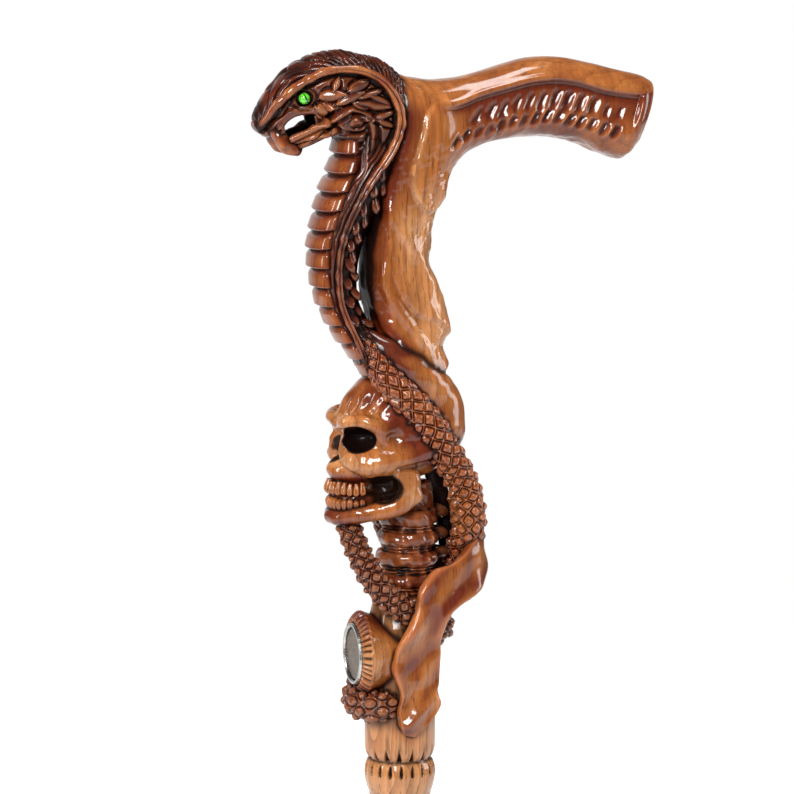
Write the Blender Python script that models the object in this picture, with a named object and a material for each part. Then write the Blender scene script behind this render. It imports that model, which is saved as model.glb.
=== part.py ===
# Walking cane. Its handle is one block of wood carved as a cobra over a skull, and it screws to a plain
# tapered shaft with a rubber foot. Metres, +Z up along the shaft, the grip runs to +X, the cobra faces -X.
# The origin is the middle of the foot's base. Lengths below are in millimetres, and MM turns them into metres.

import math

import bmesh
import bpy
import numpy as np
from mathutils import Matrix, Vector

MM = 0.001
GAP = 0.3
SEAM = 0.001

HANDLE_BASE_Z = 618.0
COLUMN_RADIUS = 14.4
BULB_RADIUS = 14.4
HEAD_TOP_Z = 919.6

STUD_RADIUS = 5.0
STUD_IN_HANDLE = 36.0
STUD_IN_SHAFT = 18.0
COLLAR_RADIUS = 12.6
COLLAR_HEIGHT = 6.0
INSERT_RADIUS = 7.0
INSERT_LENGTH = 24.0

SHAFT_TOP_RADIUS = 12.0
SHAFT_FOOT_RADIUS = 9.3
FERRULE_HEIGHT = 40.0
FERRULE_BASE_RADIUS = 18.0
SOCKET_FLOOR_Z = 8.3
WASHER_THICKNESS = 1.5

MEDALLION_Z = 676.7
MEDALLION_FACE_X = -20.4
MEDALLION_RADIUS = 12.6
BOSS_RIM_RADIUS = 17.4

EYE_RADIUS = 2.2
EYE_CENTRE = (-42.4, 11.6, 901.2)

VOXEL = 0.8
BLOCK_TRIANGLES = 9000
TURNED_SIDES = 36
HIDDEN_SIDES = 28

COLLAR_TOP_Z = HANDLE_BASE_Z - GAP
COLLAR_BASE_Z = COLLAR_TOP_Z - COLLAR_HEIGHT
SHAFT_TOP_Z = COLLAR_BASE_Z - GAP
STUD_TOP_Z = HANDLE_BASE_Z + STUD_IN_HANDLE
STUD_TIP_Z = SHAFT_TOP_Z - STUD_IN_SHAFT
WASHER_BASE_Z = SOCKET_FLOOR_Z + GAP
SHAFT_FOOT_Z = WASHER_BASE_Z + WASHER_THICKNESS + GAP


def clear_scene():
    for old in list(bpy.data.objects):
        bpy.data.objects.remove(old, do_unlink=True)


def make_material(name, colour, roughness, metallic=0.0):
    material = bpy.data.materials.new(name)
    material.use_nodes = True
    shader = material.node_tree.nodes["Principled BSDF"]
    shader.inputs["Base Color"].default_value = (*colour, 1.0)
    shader.inputs["Roughness"].default_value = roughness
    shader.inputs["Metallic"].default_value = metallic
    material.diffuse_color = (*colour, 1.0)
    return material


def add_object(name, bm, material, sharp_degrees=40):
    """Turns a bmesh in millimetres into a named object in metres, smooth but for its sharp edges."""
    bmesh.ops.recalc_face_normals(bm, faces=bm.faces[:])
    bmesh.ops.scale(bm, vec=(MM, MM, MM), verts=bm.verts[:])
    mesh = bpy.data.meshes.new(name)
    bm.to_mesh(mesh)
    bm.free()
    mesh.materials.append(material)
    mesh.shade_smooth()
    mesh.set_sharp_from_angle(angle=math.radians(sharp_degrees))
    made = bpy.data.objects.new(name, mesh)
    bpy.context.scene.collection.objects.link(made)
    return made


def curve_through(points, count):
    """Evenly spaced rows on a smooth curve through rows of x, y, z and any further values."""
    points = np.array(points, float)
    padded = np.vstack([2 * points[0] - points[1], points, 2 * points[-1] - points[-2]])
    t = np.linspace(0, 1, 24, endpoint=False)[:, None]
    spans = []
    for a, b, c, d in zip(padded, padded[1:], padded[2:], padded[3:]):
        cubic = 3 * (b - c) + d - a
        spans.append(b + 0.5 * t * (c - a + t * (2 * a - 5 * b + 4 * c - d + t * cubic)))
    fine = np.vstack(spans + [points[-1:]])
    steps = np.linalg.norm(np.diff(fine[:, :3], axis=0), axis=1)
    travelled = np.concatenate([[0], np.cumsum(steps)])
    wanted = np.linspace(0, travelled[-1], count)
    return np.column_stack([np.interp(wanted, travelled, column) for column in fine.T])


def add_loft(bm, rings):
    """Skins closed rings of points one after another, and caps both ends."""
    rows = [[bm.verts.new(point) for point in ring] for ring in rings]
    for low, high in zip(rows, rows[1:]):
        for i in range(len(low)):
            j = (i + 1) % len(low)
            bm.faces.new((low[i], low[j], high[j], high[i]))
    for end in (rows[0][::-1], rows[-1]):
        middle = bm.verts.new(sum((v.co for v in end), Vector()) / len(end))
        for i in range(len(end)):
            bm.faces.new((end[i], end[(i + 1) % len(end)], middle))


def add_ribbed(bm, ribs, rings, sides, relief=None, fullness=2.3):
    """A form through upright ribs. Each rib runs in the XZ plane from one edge (x, z) to the other (x, z),
    with a half width in Y. relief(u, angle) pushes the skin out, u from 0 to 1 along the form and
    angle from 0 at the first edge to pi at the second."""
    ribs = np.array(ribs, float)
    first, second, width = ribs[:, 0:2], ribs[:, 2:4], ribs[:, 4]
    middle, reach = (first + second) / 2, (first - second) / 2
    level = np.zeros(len(ribs))
    rows = curve_through(np.column_stack([middle[:, 0], level, middle[:, 1], reach, width]), rings)
    angle = np.linspace(0, 2 * math.pi, sides, endpoint=False)
    along = np.sign(np.cos(angle)) * np.abs(np.cos(angle)) ** (2 / fullness)
    across = np.sign(np.sin(angle)) * np.abs(np.sin(angle)) ** (2 / fullness)
    skin = []
    for i, (x, _, z, reach_x, reach_z, half) in enumerate(rows):
        long_way = np.array([reach_x, 0, reach_z])
        size = np.linalg.norm(long_way)
        grow = 0 if relief is None else relief(i / (rings - 1), angle)
        long_size, wide_size = size + grow, half + grow
        ring = np.array([x, 0, z]) + np.outer(along * long_size, long_way / size)
        ring[:, 1] += across * wide_size
        skin.append(ring)
    add_loft(bm, skin)


def add_tube(bm, path, rings, sides=14, relief=None):
    """A round form along rows of x, y, z, radius."""
    rows = curve_through(path, rings)
    heading = np.gradient(rows[:, :3], axis=0)
    heading /= np.linalg.norm(heading, axis=1)[:, None]
    side = np.cross(heading[0], [0.3, 0.5, 0.81])
    angle = np.linspace(0, 2 * math.pi, sides, endpoint=False)
    skin = []
    for i, row in enumerate(rows):
        side = side - heading[i] * (side @ heading[i])
        side /= np.linalg.norm(side)
        other = np.cross(heading[i], side)
        grow = 0 if relief is None else relief(i / (rings - 1), angle)
        radius = (row[3] + grow) * np.ones(sides)
        circle = np.outer(radius * np.cos(angle), side) + np.outer(radius * np.sin(angle), other)
        skin.append(row[:3] + circle)
    add_loft(bm, skin)


def add_band(bm, left, right, thickness, rings):
    """A flat band between two edges in space. Its face bulges a little, and its edges are rounded."""
    both = curve_through(np.column_stack([left, right]), rings)
    left, right = both[:, :3], both[:, 3:]
    across = right - left
    heading = np.gradient((left + right) / 2, axis=0)
    face = np.cross(across, heading)
    face /= np.linalg.norm(face, axis=1)[:, None]
    outline = [(0.0, 0.0), (0.06, 0.4), (0.3, 0.62), (0.5, 0.7), (0.7, 0.62), (0.94, 0.4)]
    outline += [(1.0, 0.0), (0.94, -0.5), (0.5, -0.7), (0.06, -0.5)]
    skin = []
    for start, reach, out in zip(left, across, face):
        skin.append([start + reach * a + out * (b * thickness) for a, b in outline])
    add_loft(bm, skin)


def add_ball(bm, centre, radii, turn_z=0.0, detail=3):
    """An egg shape. turn_z turns it about the upright axis, in degrees."""
    place = Matrix.Translation(centre) @ Matrix.Rotation(math.radians(turn_z), 4, "Z")
    bmesh.ops.create_icosphere(
        bm, subdivisions=detail, radius=1.0, matrix=place @ Matrix.Diagonal((*radii, 1.0))
    )


def add_turned(bm, outline, sides, axis_at=(0.0, 0.0, 0.0), axis="Z"):
    """Spins an outline of (radius, height). It is a closed loop for a hollow piece, and else begins and
    ends on the axis."""
    fresh = bmesh.new()
    corners = [fresh.verts.new((radius, 0, height)) for radius, height in outline]
    hollow = min(radius for radius, _ in outline) > 0
    pairs = list(zip(corners, corners[1:])) + ([(corners[-1], corners[0])] if hollow else [])
    edges = [fresh.edges.new(pair) for pair in pairs]
    bmesh.ops.spin(
        fresh, geom=corners + edges, cent=(0, 0, 0), axis=(0, 0, 1), angle=2 * math.pi, steps=sides
    )
    bmesh.ops.remove_doubles(fresh, verts=fresh.verts[:], dist=SEAM)
    bmesh.ops.recalc_face_normals(fresh, faces=fresh.faces[:])
    turn = Matrix.Rotation(math.radians(-90), 4, "Y") if axis == "-X" else Matrix.Identity(4)
    bmesh.ops.transform(fresh, matrix=Matrix.Translation(axis_at) @ turn, verts=fresh.verts[:])
    mesh = bpy.data.meshes.new("turned")
    fresh.to_mesh(mesh)
    fresh.free()
    bm.from_mesh(mesh)
    bpy.data.meshes.remove(mesh)


def mirrored(path, sign):
    return [(x, sign * y, *rest) for x, y, *rest in path]


def bump(value, centre, width):
    """1 at the centre, falling smoothly to 0 a few widths away."""
    return np.exp(-(((value - centre) / width) ** 2))


def sway(bm, first):
    """Brings the hood's lower end round to the near side, from the bmesh's point number first on."""
    near, top, drop = 7.0, 824.0, 34.0
    for vert in list(bm.verts)[first:]:
        share = min(1.0, max(0.0, (top - vert.co.z) / drop))
        vert.co.y -= near * share * share * (3 - 2 * share)


def carve_grip_and_neck(bm):
    """The palm grip and, in one sweep, the draped neck that stands below it."""
    ribs = [
        (104.4, 905.4, 95.6, 877.4, 13.0),
        (99.6, 907.6, 91.2, 874.0, 15.6),
        (88.6, 910.2, 81.8, 876.8, 14.6),
        (79.8, 912.4, 74.0, 880.6, 13.8),
        (67.0, 915.0, 63.0, 883.0, 13.6),
        (54.3, 915.2, 51.5, 883.7, 13.8),
        (43.8, 912.9, 42.2, 882.7, 14.2),
        (33.3, 909.9, 33.8, 880.9, 14.2),
        (22.9, 907.7, 26.7, 878.2, 14.2),
        (12.5, 907.0, 22.1, 873.6, 15.0),
        (3.0, 908.4, 19.3, 868.5, 15.8),
        (-5.6, 909.2, 17.8, 863.5, 16.4),
        (-9.8, 893.0, 16.8, 859.6, 16.4),
        (-10.4, 875.0, 14.0, 855.2, 15.6),
        (-12.0, 859.0, 12.4, 848.6, 14.6),
        (-14.0, 845.0, 11.8, 841.0, 14.0),
        (-14.5, 835.0, 11.2, 835.4, 14.0),
        (-14.4, 826.0, 14.4, 827.2, 14.6),
        (-13.4, 816.0, 18.2, 816.4, 15.2),
        (-12.0, 807.0, 18.8, 807.0, 16.0),
        (-11.0, 801.0, 16.2, 801.6, 16.4),
        (-9.6, 794.0, 18.0, 794.4, 16.8),
        (-8.0, 786.0, 17.0, 787.0, 16.0),
        (-6.0, 776.0, 14.0, 776.0, 14.0),
    ]

    def relief(u, angle):
        height = np.cos(angle)
        on_grip = 1 - min(1.0, max(0.0, (u - 0.34) / 0.1))
        recess = -1.9 * bump(height, -0.12, 0.4) * on_grip
        ridge = 1.0 * bump(height, 0.5, 0.12) * on_grip
        return recess + ridge

    add_ribbed(bm, ribs, rings=150, sides=56, relief=relief, fullness=2.5)


def carve_hood(bm):
    """The cobra's neck: belly plates in front, a raised rim down each side."""
    ribs = [
        (-27.2, 886.0, -2.0, 888.0, 14.0),
        (-28.8, 875.2, -1.0, 876.0, 16.5),
        (-33.4, 863.1, -5.0, 865.0, 17.0),
        (-36.7, 849.7, -11.6, 853.0, 15.8),
        (-38.0, 841.4, -15.7, 844.0, 14.6),
        (-37.4, 831.9, -18.2, 833.0, 13.2),
        (-34.7, 819.8, -18.0, 821.0, 12.2),
        (-29.0, 806.9, -13.5, 811.0, 11.2),
        (-22.8, 798.2, -8.6, 804.0, 10.4),
        (-17.5, 790.0, -2.0, 797.0, 9.0),
    ]
    plates = 15
    first = len(bm.verts)

    def relief(u, angle):
        front = np.clip((np.cos(angle) + 0.05) / 0.2, 0, 1)
        channel = -1.4 * bump(np.cos(angle), -0.22, 0.16)
        return front * (1.7 * np.abs(np.sin(math.pi * plates * u)) ** 0.6 - 1.2) + channel

    add_ribbed(bm, ribs, rings=130, sides=40, relief=relief, fullness=2.1)
    rim = [
        (-57.0, -4.4, 893.8, 1.3),
        (-53.1, -7.0, 898.0, 1.5),
        (-45.6, -11.4, 905.9, 1.6),
        (-38.0, -14.2, 910.6, 1.7),
        (-31.5, -16.0, 912.4, 1.8),
        (-25.0, -16.8, 912.6, 1.8),
        (-18.4, -17.3, 911.2, 1.8),
        (-12.0, -17.8, 907.4, 1.9),
        (-5.2, -18.0, 895.4, 2.0),
        (-5.2, -18.0, 889.4, 2.0),
        (-8.8, -17.8, 880.1, 1.9),
        (-19.1, -16.8, 864.9, 1.8),
        (-26.5, -14.8, 848.8, 1.7),
        (-28.8, -13.3, 834.9, 1.6),
        (-27.4, -12.2, 819.3, 1.5),
        (-21.2, -10.9, 803.8, 1.3),
        (-17.0, -9.6, 793.4, 1.0),
    ]
    for sign in (1, -1):
        add_tube(bm, mirrored(rim, sign), rings=110, sides=12)
    sway(bm, first)


def carve_cobra_head(bm):
    """The head, its lower jaw dropped open, and two fangs that curve back to the jaw."""
    head = [
        (4.0, 904.0, 3.0, 864.0, 12.0),
        (-4.5, 914.5, -9.0, 872.0, 17.0),
        (-16.8, 917.9, -20.6, 883.0, 17.6),
        (-26.7, HEAD_TOP_Z, -29.6, 887.6, 16.6),
        (-36.9, 917.8, -36.1, 894.8, 14.4),
        (-45.4, 913.6, -43.4, 895.0, 12.0),
        (-51.5, 907.9, -49.4, 888.2, 9.8),
        (-56.8, 901.7, -54.6, 885.4, 7.8),
        (-60.2, 894.4, -58.6, 887.6, 4.4),
    ]
    jaw = [
        (-22.0, 899.0, -22.0, 884.0, 13.0),
        (-30.0, 895.0, -27.6, 886.4, 11.4),
        (-36.0, 888.6, -33.2, 884.0, 9.2),
        (-40.6, 886.8, -38.2, 880.8, 7.2),
        (-44.4, 883.2, -42.4, 878.6, 5.2),
    ]
    add_ribbed(bm, head, rings=60, sides=36)
    add_ribbed(bm, jaw, rings=24, sides=20)
    fang = [
        (-53.0, 5.0, 892.0, 3.0),
        (-51.2, 6.0, 886.6, 2.8),
        (-48.0, 6.2, 882.6, 2.7),
        (-43.4, 5.6, 880.6, 2.2),
    ]
    lip = [
        (-50.2, -7.2, 887.4, 1.5),
        (-51.0, -7.6, 890.4, 1.6),
        (-49.4, -8.2, 893.0, 1.6),
        (-45.9, -8.8, 895.4, 1.7),
        (-41.6, -9.4, 896.4, 1.9),
        (-37.4, -10.2, 896.2, 2.0),
        (-34.6, -10.4, 893.4, 2.0),
        (-35.2, -10.0, 889.8, 1.9),
        (-38.6, -9.2, 887.2, 1.8),
        (-43.4, -7.8, 885.2, 1.7),
    ]
    for sign in (1, -1):
        add_tube(bm, mirrored(fang, sign), rings=14, sides=10)
        add_tube(bm, mirrored(lip, sign), rings=30, sides=10)
        add_ball(bm, (-27.0, sign * 12.4, 893.4), (9.0, 4.6, 6.4))


def carve_skull(bm):
    """A skull that looks to -X: cranium, brows, cheekbones, both jaws and their teeth."""
    add_ball(bm, (0.2, 0.0, 770.0), (26.6, 21.0, 23.0), detail=4)
    add_ball(bm, (-23.0, 0.0, 763.0), (5.4, 8.0, 9.0))
    add_ball(bm, (-6.0, 0.0, 747.0), (14.0, 10.6, 11.0))
    brow = [
        (-23.6, 0.0, 769.6, 4.0),
        (-24.4, 7.0, 770.8, 4.6),
        (-22.0, 12.0, 771.4, 4.8),
        (-15.0, 15.6, 770.6, 5.0),
        (-7.0, 16.8, 766.6, 5.0),
    ]
    cheekbone = [
        (-25.4, 6.0, 760.6, 4.0),
        (-22.0, 11.0, 757.8, 5.8),
        (-14.0, 14.0, 757.2, 7.0),
        (-4.0, 16.0, 759.4, 5.8),
        (6.0, 16.4, 762.0, 5.0),
    ]
    ramus = [(-1.0, 15.0, 756.0, 4.4), (-1.6, 14.8, 748.0, 5.0), (-4.0, 13.8, 741.0, 4.6)]
    for sign in (1, -1):
        add_ball(bm, (-10.0, sign * 9.6, 765.0), (16.4, 9.4, 11.0), turn_z=sign * 12)
        add_tube(bm, mirrored(brow, sign), rings=24, sides=14)
        add_tube(bm, mirrored(cheekbone, sign), rings=24, sides=16)
        add_tube(bm, mirrored(ramus, sign), rings=12, sides=14)
        add_ball(bm, (-1.2, sign * 14.2, 747.6), (6.6, 3.6, 9.6))
    side = [
        (1.6, 14.2, 742.0, 4.4),
        (-8.0, 13.2, 738.6, 4.4),
        (-19.0, 11.0, 736.4, 3.8),
        (-26.4, 6.0, 735.2, 3.8),
    ]
    chin = side + [(-28.2, 0.0, 735.0, 3.8)] + mirrored(side[::-1], -1)
    add_tube(bm, chin, rings=70, sides=14)
    arch_centre, arch_depth, arch_half_width, teeth_a_side = -18.0, 12.4, 10.8, 5
    add_ball(bm, (arch_centre, 0.0, 751.4), (arch_depth, arch_half_width + 0.4, 7.4))
    add_ball(bm, (arch_centre, 0.0, 741.4), (arch_depth - 1.4, arch_half_width - 1.0, 6.0))
    for height, reach in ((745.6, 0.8), (739.6, 0.4)):
        for i in range(-teeth_a_side, teeth_a_side + 1):
            turn = math.radians(74) * i / teeth_a_side
            x = arch_centre - (arch_depth + reach) * math.cos(turn)
            y = (arch_half_width + reach) * math.sin(turn)
            add_ball(bm, (x, y, height), (2.3, 1.7, 3.3), turn_z=-math.degrees(turn), detail=2)


def carve_spine(bm):
    """Neck bones under the skull, each with a waist above and below it."""
    bones, low, high = 5, 690.0, 744.0
    rings = 8 * bones + 1
    outline = [(0.0, low - 6.0)]
    for i in range(rings):
        height = low + (high - low) * i / (rings - 1)
        outline.append((9.6 + 3.2 * abs(math.sin(math.pi * bones * i / (rings - 1))), height))
    outline.append((0.0, high + 6.0))
    add_turned(bm, outline, sides=32, axis_at=(3.6, 0.0, 0.0))


def carve_back_web(bm):
    """The upright web of wood left standing behind the neck bones."""
    left = [
        (9.5, 10.0, 760.0),
        (12.4, 10.0, 751.0),
        (15.8, 10.0, 740.2),
        (17.2, 10.0, 733.0),
        (18.9, 10.0, 724.0),
        (20.2, 10.0, 711.0),
        (19.4, 9.4, 704.0),
    ]
    right = [
        (18.0, 10.0, 758.0),
        (20.0, 10.0, 749.0),
        (23.4, 10.0, 740.0),
        (24.0, 10.0, 731.5),
        (23.6, 10.0, 722.0),
        (23.0, 10.0, 709.0),
        (21.6, 9.4, 702.0),
    ]
    add_band(bm, left, right, thickness=5.0, rings=40)


def carve_snake(bm):
    """The cobra's body: off the hood, over the skull's temple, round and up behind the spine, under the
    chin, under the banner, round behind the column, and to the tail's end."""
    body = [
        (-18.6, -5.0, 819.0, 1.8),
        (-18.2, -8.5, 811.0, 3.6),
        (-16.4, -12.2, 803.0, 5.0),
        (-13.0, -15.2, 795.0, 6.0),
        (-7.4, -17.2, 787.0, 6.6),
        (0.4, -18.0, 779.2, 6.7),
        (6.6, -17.8, 771.4, 6.8),
        (11.6, -16.4, 763.4, 6.9),
        (16.6, -13.8, 756.6, 6.9),
        (21.2, -11.2, 749.6, 6.8),
        (24.6, -9.4, 742.4, 6.8),
        (26.4, -8.0, 735.0, 7.0),
        (27.2, -5.6, 727.4, 7.0),
        (27.0, -0.6, 719.4, 6.7),
        (23.6, 6.6, 711.6, 6.3),
        (16.6, 12.6, 706.6, 6.1),
        (8.4, 16.4, 710.4, 6.0),
        (2.4, 17.2, 719.6, 5.9),
        (-1.8, 17.4, 729.6, 5.8),
        (-7.6, 16.4, 738.0, 5.6),
        (-14.6, 12.4, 741.0, 5.4),
        (-19.6, 6.0, 738.0, 5.2),
        (-22.6, -3.0, 731.4, 5.0),
        (-21.2, -8.5, 723.1, 5.0),
        (-17.6, -11.8, 714.2, 5.4),
        (-12.6, -13.4, 706.1, 5.6),
        (-6.4, -12.8, 699.4, 5.8),
        (4.0, -10.4, 693.6, 5.8),
        (13.4, -6.0, 690.0, 6.2),
        (15.6, 2.0, 684.0, 6.2),
        (8.0, 13.0, 677.0, 6.0),
        (-6.0, 14.6, 666.0, 6.0),
        (-15.0, 8.6, 659.0, 6.4),
        (-17.4, -3.0, 657.0, 6.6),
        (-14.2, -10.4, 657.0, 6.4),
        (-9.0, -11.6, 657.4, 5.6),
        (-4.0, -9.0, 657.6, 3.4),
    ]
    add_tube(bm, body, rings=260, sides=16)


def carve_drapery(bm):
    """The folds of cloth that hang down both sides of the neck, and the smooth fold below them that
    runs on into the back of the skull."""
    folds = (
        [(1.6, -11.6, 856.0, 3.0), (3.4, -12.2, 838.0, 4.2), (6.6, -12.4, 822.0, 5.2), (9.8, -9.0, 806.0, 4.6)],
        [(-6.6, -12.6, 848.0, 2.6), (-5.0, -14.0, 828.0, 4.0), (0.6, -14.0, 812.0, 5.2), (8.8, -10.4, 799.0, 5.0)],
        [
            (-18.4, -6.0, 817.0, 2.0),
            (-16.0, -8.0, 811.0, 3.6),
            (-11.0, -11.4, 803.0, 6.0),
            (-2.0, -13.0, 795.0, 7.6),
            (6.6, -11.0, 787.6, 8.8),
            (13.4, -6.0, 778.6, 10.4),
        ],
    )
    for fold in folds:
        for sign in (1, -1):
            add_tube(bm, mirrored(fold, sign), rings=28, sides=16)


def carve_banner(bm):
    """A bare ribbon banner that comes round from the back and hangs down the column's near side."""
    left = [
        (24.0, 10.5, 737.5),
        (29.4, 6.0, 736.6),
        (33.0, -1.0, 733.0),
        (30.6, -7.0, 726.5),
        (25.0, -10.0, 719.0),
        (18.0, -11.8, 714.0),
        (10.0, -14.0, 711.0),
        (4.2, -16.4, 704.6),
        (1.6, -17.8, 696.0),
        (-1.4, -18.4, 689.0),
        (-6.0, -17.6, 682.6),
        (-7.7, -16.6, 675.0),
        (-6.3, -16.2, 667.8),
        (-4.5, -16.2, 661.4),
        (-5.7, -16.2, 655.0),
        (-5.0, -16.0, 649.6),
        (-2.9, -15.8, 646.0),
    ]
    right = [
        (23.0, 14.5, 720.0),
        (28.0, 12.0, 717.6),
        (33.0, 7.0, 715.0),
        (35.2, -1.0, 710.0),
        (33.4, -5.4, 705.0),
        (30.4, -8.6, 701.6),
        (25.3, -11.0, 698.6),
        (17.1, -13.6, 694.2),
        (13.6, -13.0, 689.0),
        (12.7, -12.6, 684.0),
        (12.7, -12.0, 678.5),
        (12.7, -12.0, 672.0),
        (12.3, -12.4, 665.4),
        (11.0, -13.4, 660.4),
        (12.0, -13.8, 656.6),
        (7.4, -14.8, 649.6),
        (1.2, -15.4, 644.6),
    ]
    add_band(bm, left, right, thickness=3.6, rings=110)


def carve_column(bm):
    """The round column below the carving, its bulb ring, and the boss that holds the medallion."""
    column = [
        (0.0, HANDLE_BASE_Z - 2),
        (12.3, HANDLE_BASE_Z - 2),
        (12.5, HANDLE_BASE_Z + 1),
        (13.4, HANDLE_BASE_Z + 4),
        (BULB_RADIUS - 0.2, HANDLE_BASE_Z + 7.5),
        (BULB_RADIUS, HANDLE_BASE_Z + 10),
        (BULB_RADIUS - 0.4, HANDLE_BASE_Z + 12.5),
        (12.6, HANDLE_BASE_Z + 14.5),
        (13.6, HANDLE_BASE_Z + 16.5),
        (COLUMN_RADIUS, HANDLE_BASE_Z + 20),
        (COLUMN_RADIUS, 652.0),
        (14.2, 672.0),
        (13.4, 688.0),
        (11.0, 697.0),
        (0.0, 700.0),
    ]
    add_turned(bm, column, sides=64)
    boss = [
        (0.0, -6.0),
        (14.6, -6.0),
        (15.0, 6.0),
        (16.6, 11.0),
        (BOSS_RIM_RADIUS, 14.5),
        (BOSS_RIM_RADIUS - 0.4, 16.5),
        (MEDALLION_RADIUS + 1.6, 19.4),
        (0.0, 19.4),
    ]
    add_turned(bm, boss, sides=48, axis_at=(0.0, 0.0, MEDALLION_Z), axis="-X")


def socket_cutters(bm):
    """Eye sockets, nose and the bridge above it of the skull."""
    for sign in (1, -1):
        add_ball(bm, (-22.0, sign * 13.6, 766.0), (10.6, 7.4, 5.2), turn_z=-sign * 38)
    add_ball(bm, (-29.6, 0.0, 762.4), (5.0, 3.6, 5.2))


def seat_cutters(bm):
    """Seats for the glass eyes, the medallion and the stud, and the flat base of the block."""
    for sign in (1, -1):
        x, y, z = EYE_CENTRE
        add_ball(bm, (x, sign * y, z), (EYE_RADIUS + GAP,) * 3, detail=2)
    seat = [
        (0.0, -4.0),
        (MEDALLION_RADIUS + GAP, -4.0),
        (MEDALLION_RADIUS + GAP, 2.6),
        (0.0, 2.6),
    ]
    add_turned(bm, seat, TURNED_SIDES, axis_at=(MEDALLION_FACE_X + 2.6, 0.0, MEDALLION_Z), axis="-X")
    bore = [
        (0.0, HANDLE_BASE_Z - 6),
        (24.0, HANDLE_BASE_Z - 6),
        (24.0, HANDLE_BASE_Z),
        (STUD_RADIUS + GAP, HANDLE_BASE_Z),
        (STUD_RADIUS + GAP, STUD_TOP_Z + GAP),
        (0.0, STUD_TOP_Z + GAP),
    ]
    add_turned(bm, bore, HIDDEN_SIDES)


def add_cutter(name, shape, target):
    bm = bmesh.new()
    shape(bm)
    cutter = add_object(name, bm, target.data.materials[0])
    cutter.hide_render = True
    cutter.display_type = "WIRE"
    cut = target.modifiers.new(name, "BOOLEAN")
    cut.operation = "DIFFERENCE"
    cut.object = cutter


def keep_outer_skin(mesh):
    """Drops the specks of skin that fusing leaves around tiny hollows, which no one could carve."""
    bm = bmesh.new()
    bm.from_mesh(mesh)
    unseen, shells = set(bm.verts), []
    while unseen:
        shell, edge = set(), [unseen.pop()]
        while edge:
            vert = edge.pop()
            shell.add(vert)
            near = {link.other_vert(vert) for link in vert.link_edges} & unseen
            unseen -= near
            edge.extend(near)
        shells.append(shell)
    shells.sort(key=len)
    for speck in shells[:-1]:
        bmesh.ops.delete(bm, geom=list(speck), context="VERTS")
    bm.to_mesh(mesh)
    bm.free()


def fused(shape):
    """One skin around all the forms of an object, as a mesh."""
    fuse = shape.modifiers.new("fuse", "REMESH")
    fuse.mode = "VOXEL"
    fuse.voxel_size = VOXEL * MM
    fuse.use_smooth_shade = True
    soften = shape.modifiers.new("soften", "SMOOTH")
    soften.factor = 0.5
    soften.iterations = 4
    graph = bpy.context.evaluated_depsgraph_get()
    mesh = bpy.data.meshes.new_from_object(shape.evaluated_get(graph))
    bpy.data.objects.remove(shape, do_unlink=True)
    keep_outer_skin(mesh)
    return mesh


def make_carved_handle(material):
    """Every carved form, fused into one block, with its holes and seats cut."""
    bm = bmesh.new()
    for carve in (
        carve_grip_and_neck,
        carve_hood,
        carve_cobra_head,
        carve_skull,
        carve_spine,
        carve_back_web,
        carve_snake,
        carve_drapery,
        carve_banner,
        carve_column,
    ):
        carve(bm)
    mesh = fused(add_object("forms", bm, material))
    mesh.name = "carved_handle"
    block = bpy.data.objects.new("carved_handle", mesh)
    bpy.context.scene.collection.objects.link(block)
    thin = block.modifiers.new("thin", "DECIMATE")
    triangles = sum(len(face.vertices) - 2 for face in mesh.polygons)
    thin.ratio = BLOCK_TRIANGLES / triangles
    add_cutter("socket_cutter", socket_cutters, block)
    add_cutter("seat_cutter", seat_cutters, block)
    return block


def make_eye(name, sign, material):
    bm = bmesh.new()
    x, y, z = EYE_CENTRE
    add_ball(bm, (x, sign * y, z), (EYE_RADIUS,) * 3, detail=2)
    return add_object(name, bm, material)


def make_medallion(bezel_material, face_material):
    """A metal disc and the ring that frames it, both seated in the boss."""
    bezel = [
        (MEDALLION_RADIUS - 1.8, 0.0),
        (MEDALLION_RADIUS, 0.0),
        (MEDALLION_RADIUS, 1.6),
        (MEDALLION_RADIUS - 0.5, 2.4),
        (MEDALLION_RADIUS - 1.3, 2.4),
        (MEDALLION_RADIUS - 1.8, 1.8),
    ]
    disc_radius = MEDALLION_RADIUS - 1.8 - GAP
    disc = [(0.0, 0.0), (disc_radius, 0.0), (disc_radius, 1.0), (disc_radius - 0.5, 1.4), (0.0, 1.4)]
    seat_x = MEDALLION_FACE_X + 2.6 - GAP
    for name, outline, material in (
        ("medallion_bezel", bezel, bezel_material),
        ("medallion_face", disc, face_material),
    ):
        bm = bmesh.new()
        add_turned(bm, outline, TURNED_SIDES, axis_at=(seat_x, 0.0, MEDALLION_Z), axis="-X")
        add_object(name, bm, material, sharp_degrees=30)


def make_turned(name, outline, sides, material):
    bm = bmesh.new()
    add_turned(bm, outline, sides)
    return add_object(name, bm, material, sharp_degrees=30)


def make_collar(material):
    bore, chamfer = STUD_RADIUS + GAP, 0.8
    outline = [
        (bore, COLLAR_BASE_Z),
        (COLLAR_RADIUS - chamfer, COLLAR_BASE_Z),
        (COLLAR_RADIUS, COLLAR_BASE_Z + chamfer),
        (COLLAR_RADIUS, COLLAR_TOP_Z - chamfer),
        (COLLAR_RADIUS - chamfer, COLLAR_TOP_Z),
        (bore, COLLAR_TOP_Z),
    ]
    return make_turned("joint_collar", outline, TURNED_SIDES, material)


def make_stud(material):
    outline = [
        (0.0, STUD_TIP_Z),
        (STUD_RADIUS - 1.2, STUD_TIP_Z),
        (STUD_RADIUS, STUD_TIP_Z + 1.2),
        (STUD_RADIUS, STUD_TOP_Z - 1.2),
        (STUD_RADIUS - 1.2, STUD_TOP_Z),
        (0.0, STUD_TOP_Z),
    ]
    return make_turned("joint_stud", outline, HIDDEN_SIDES, material)


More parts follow.
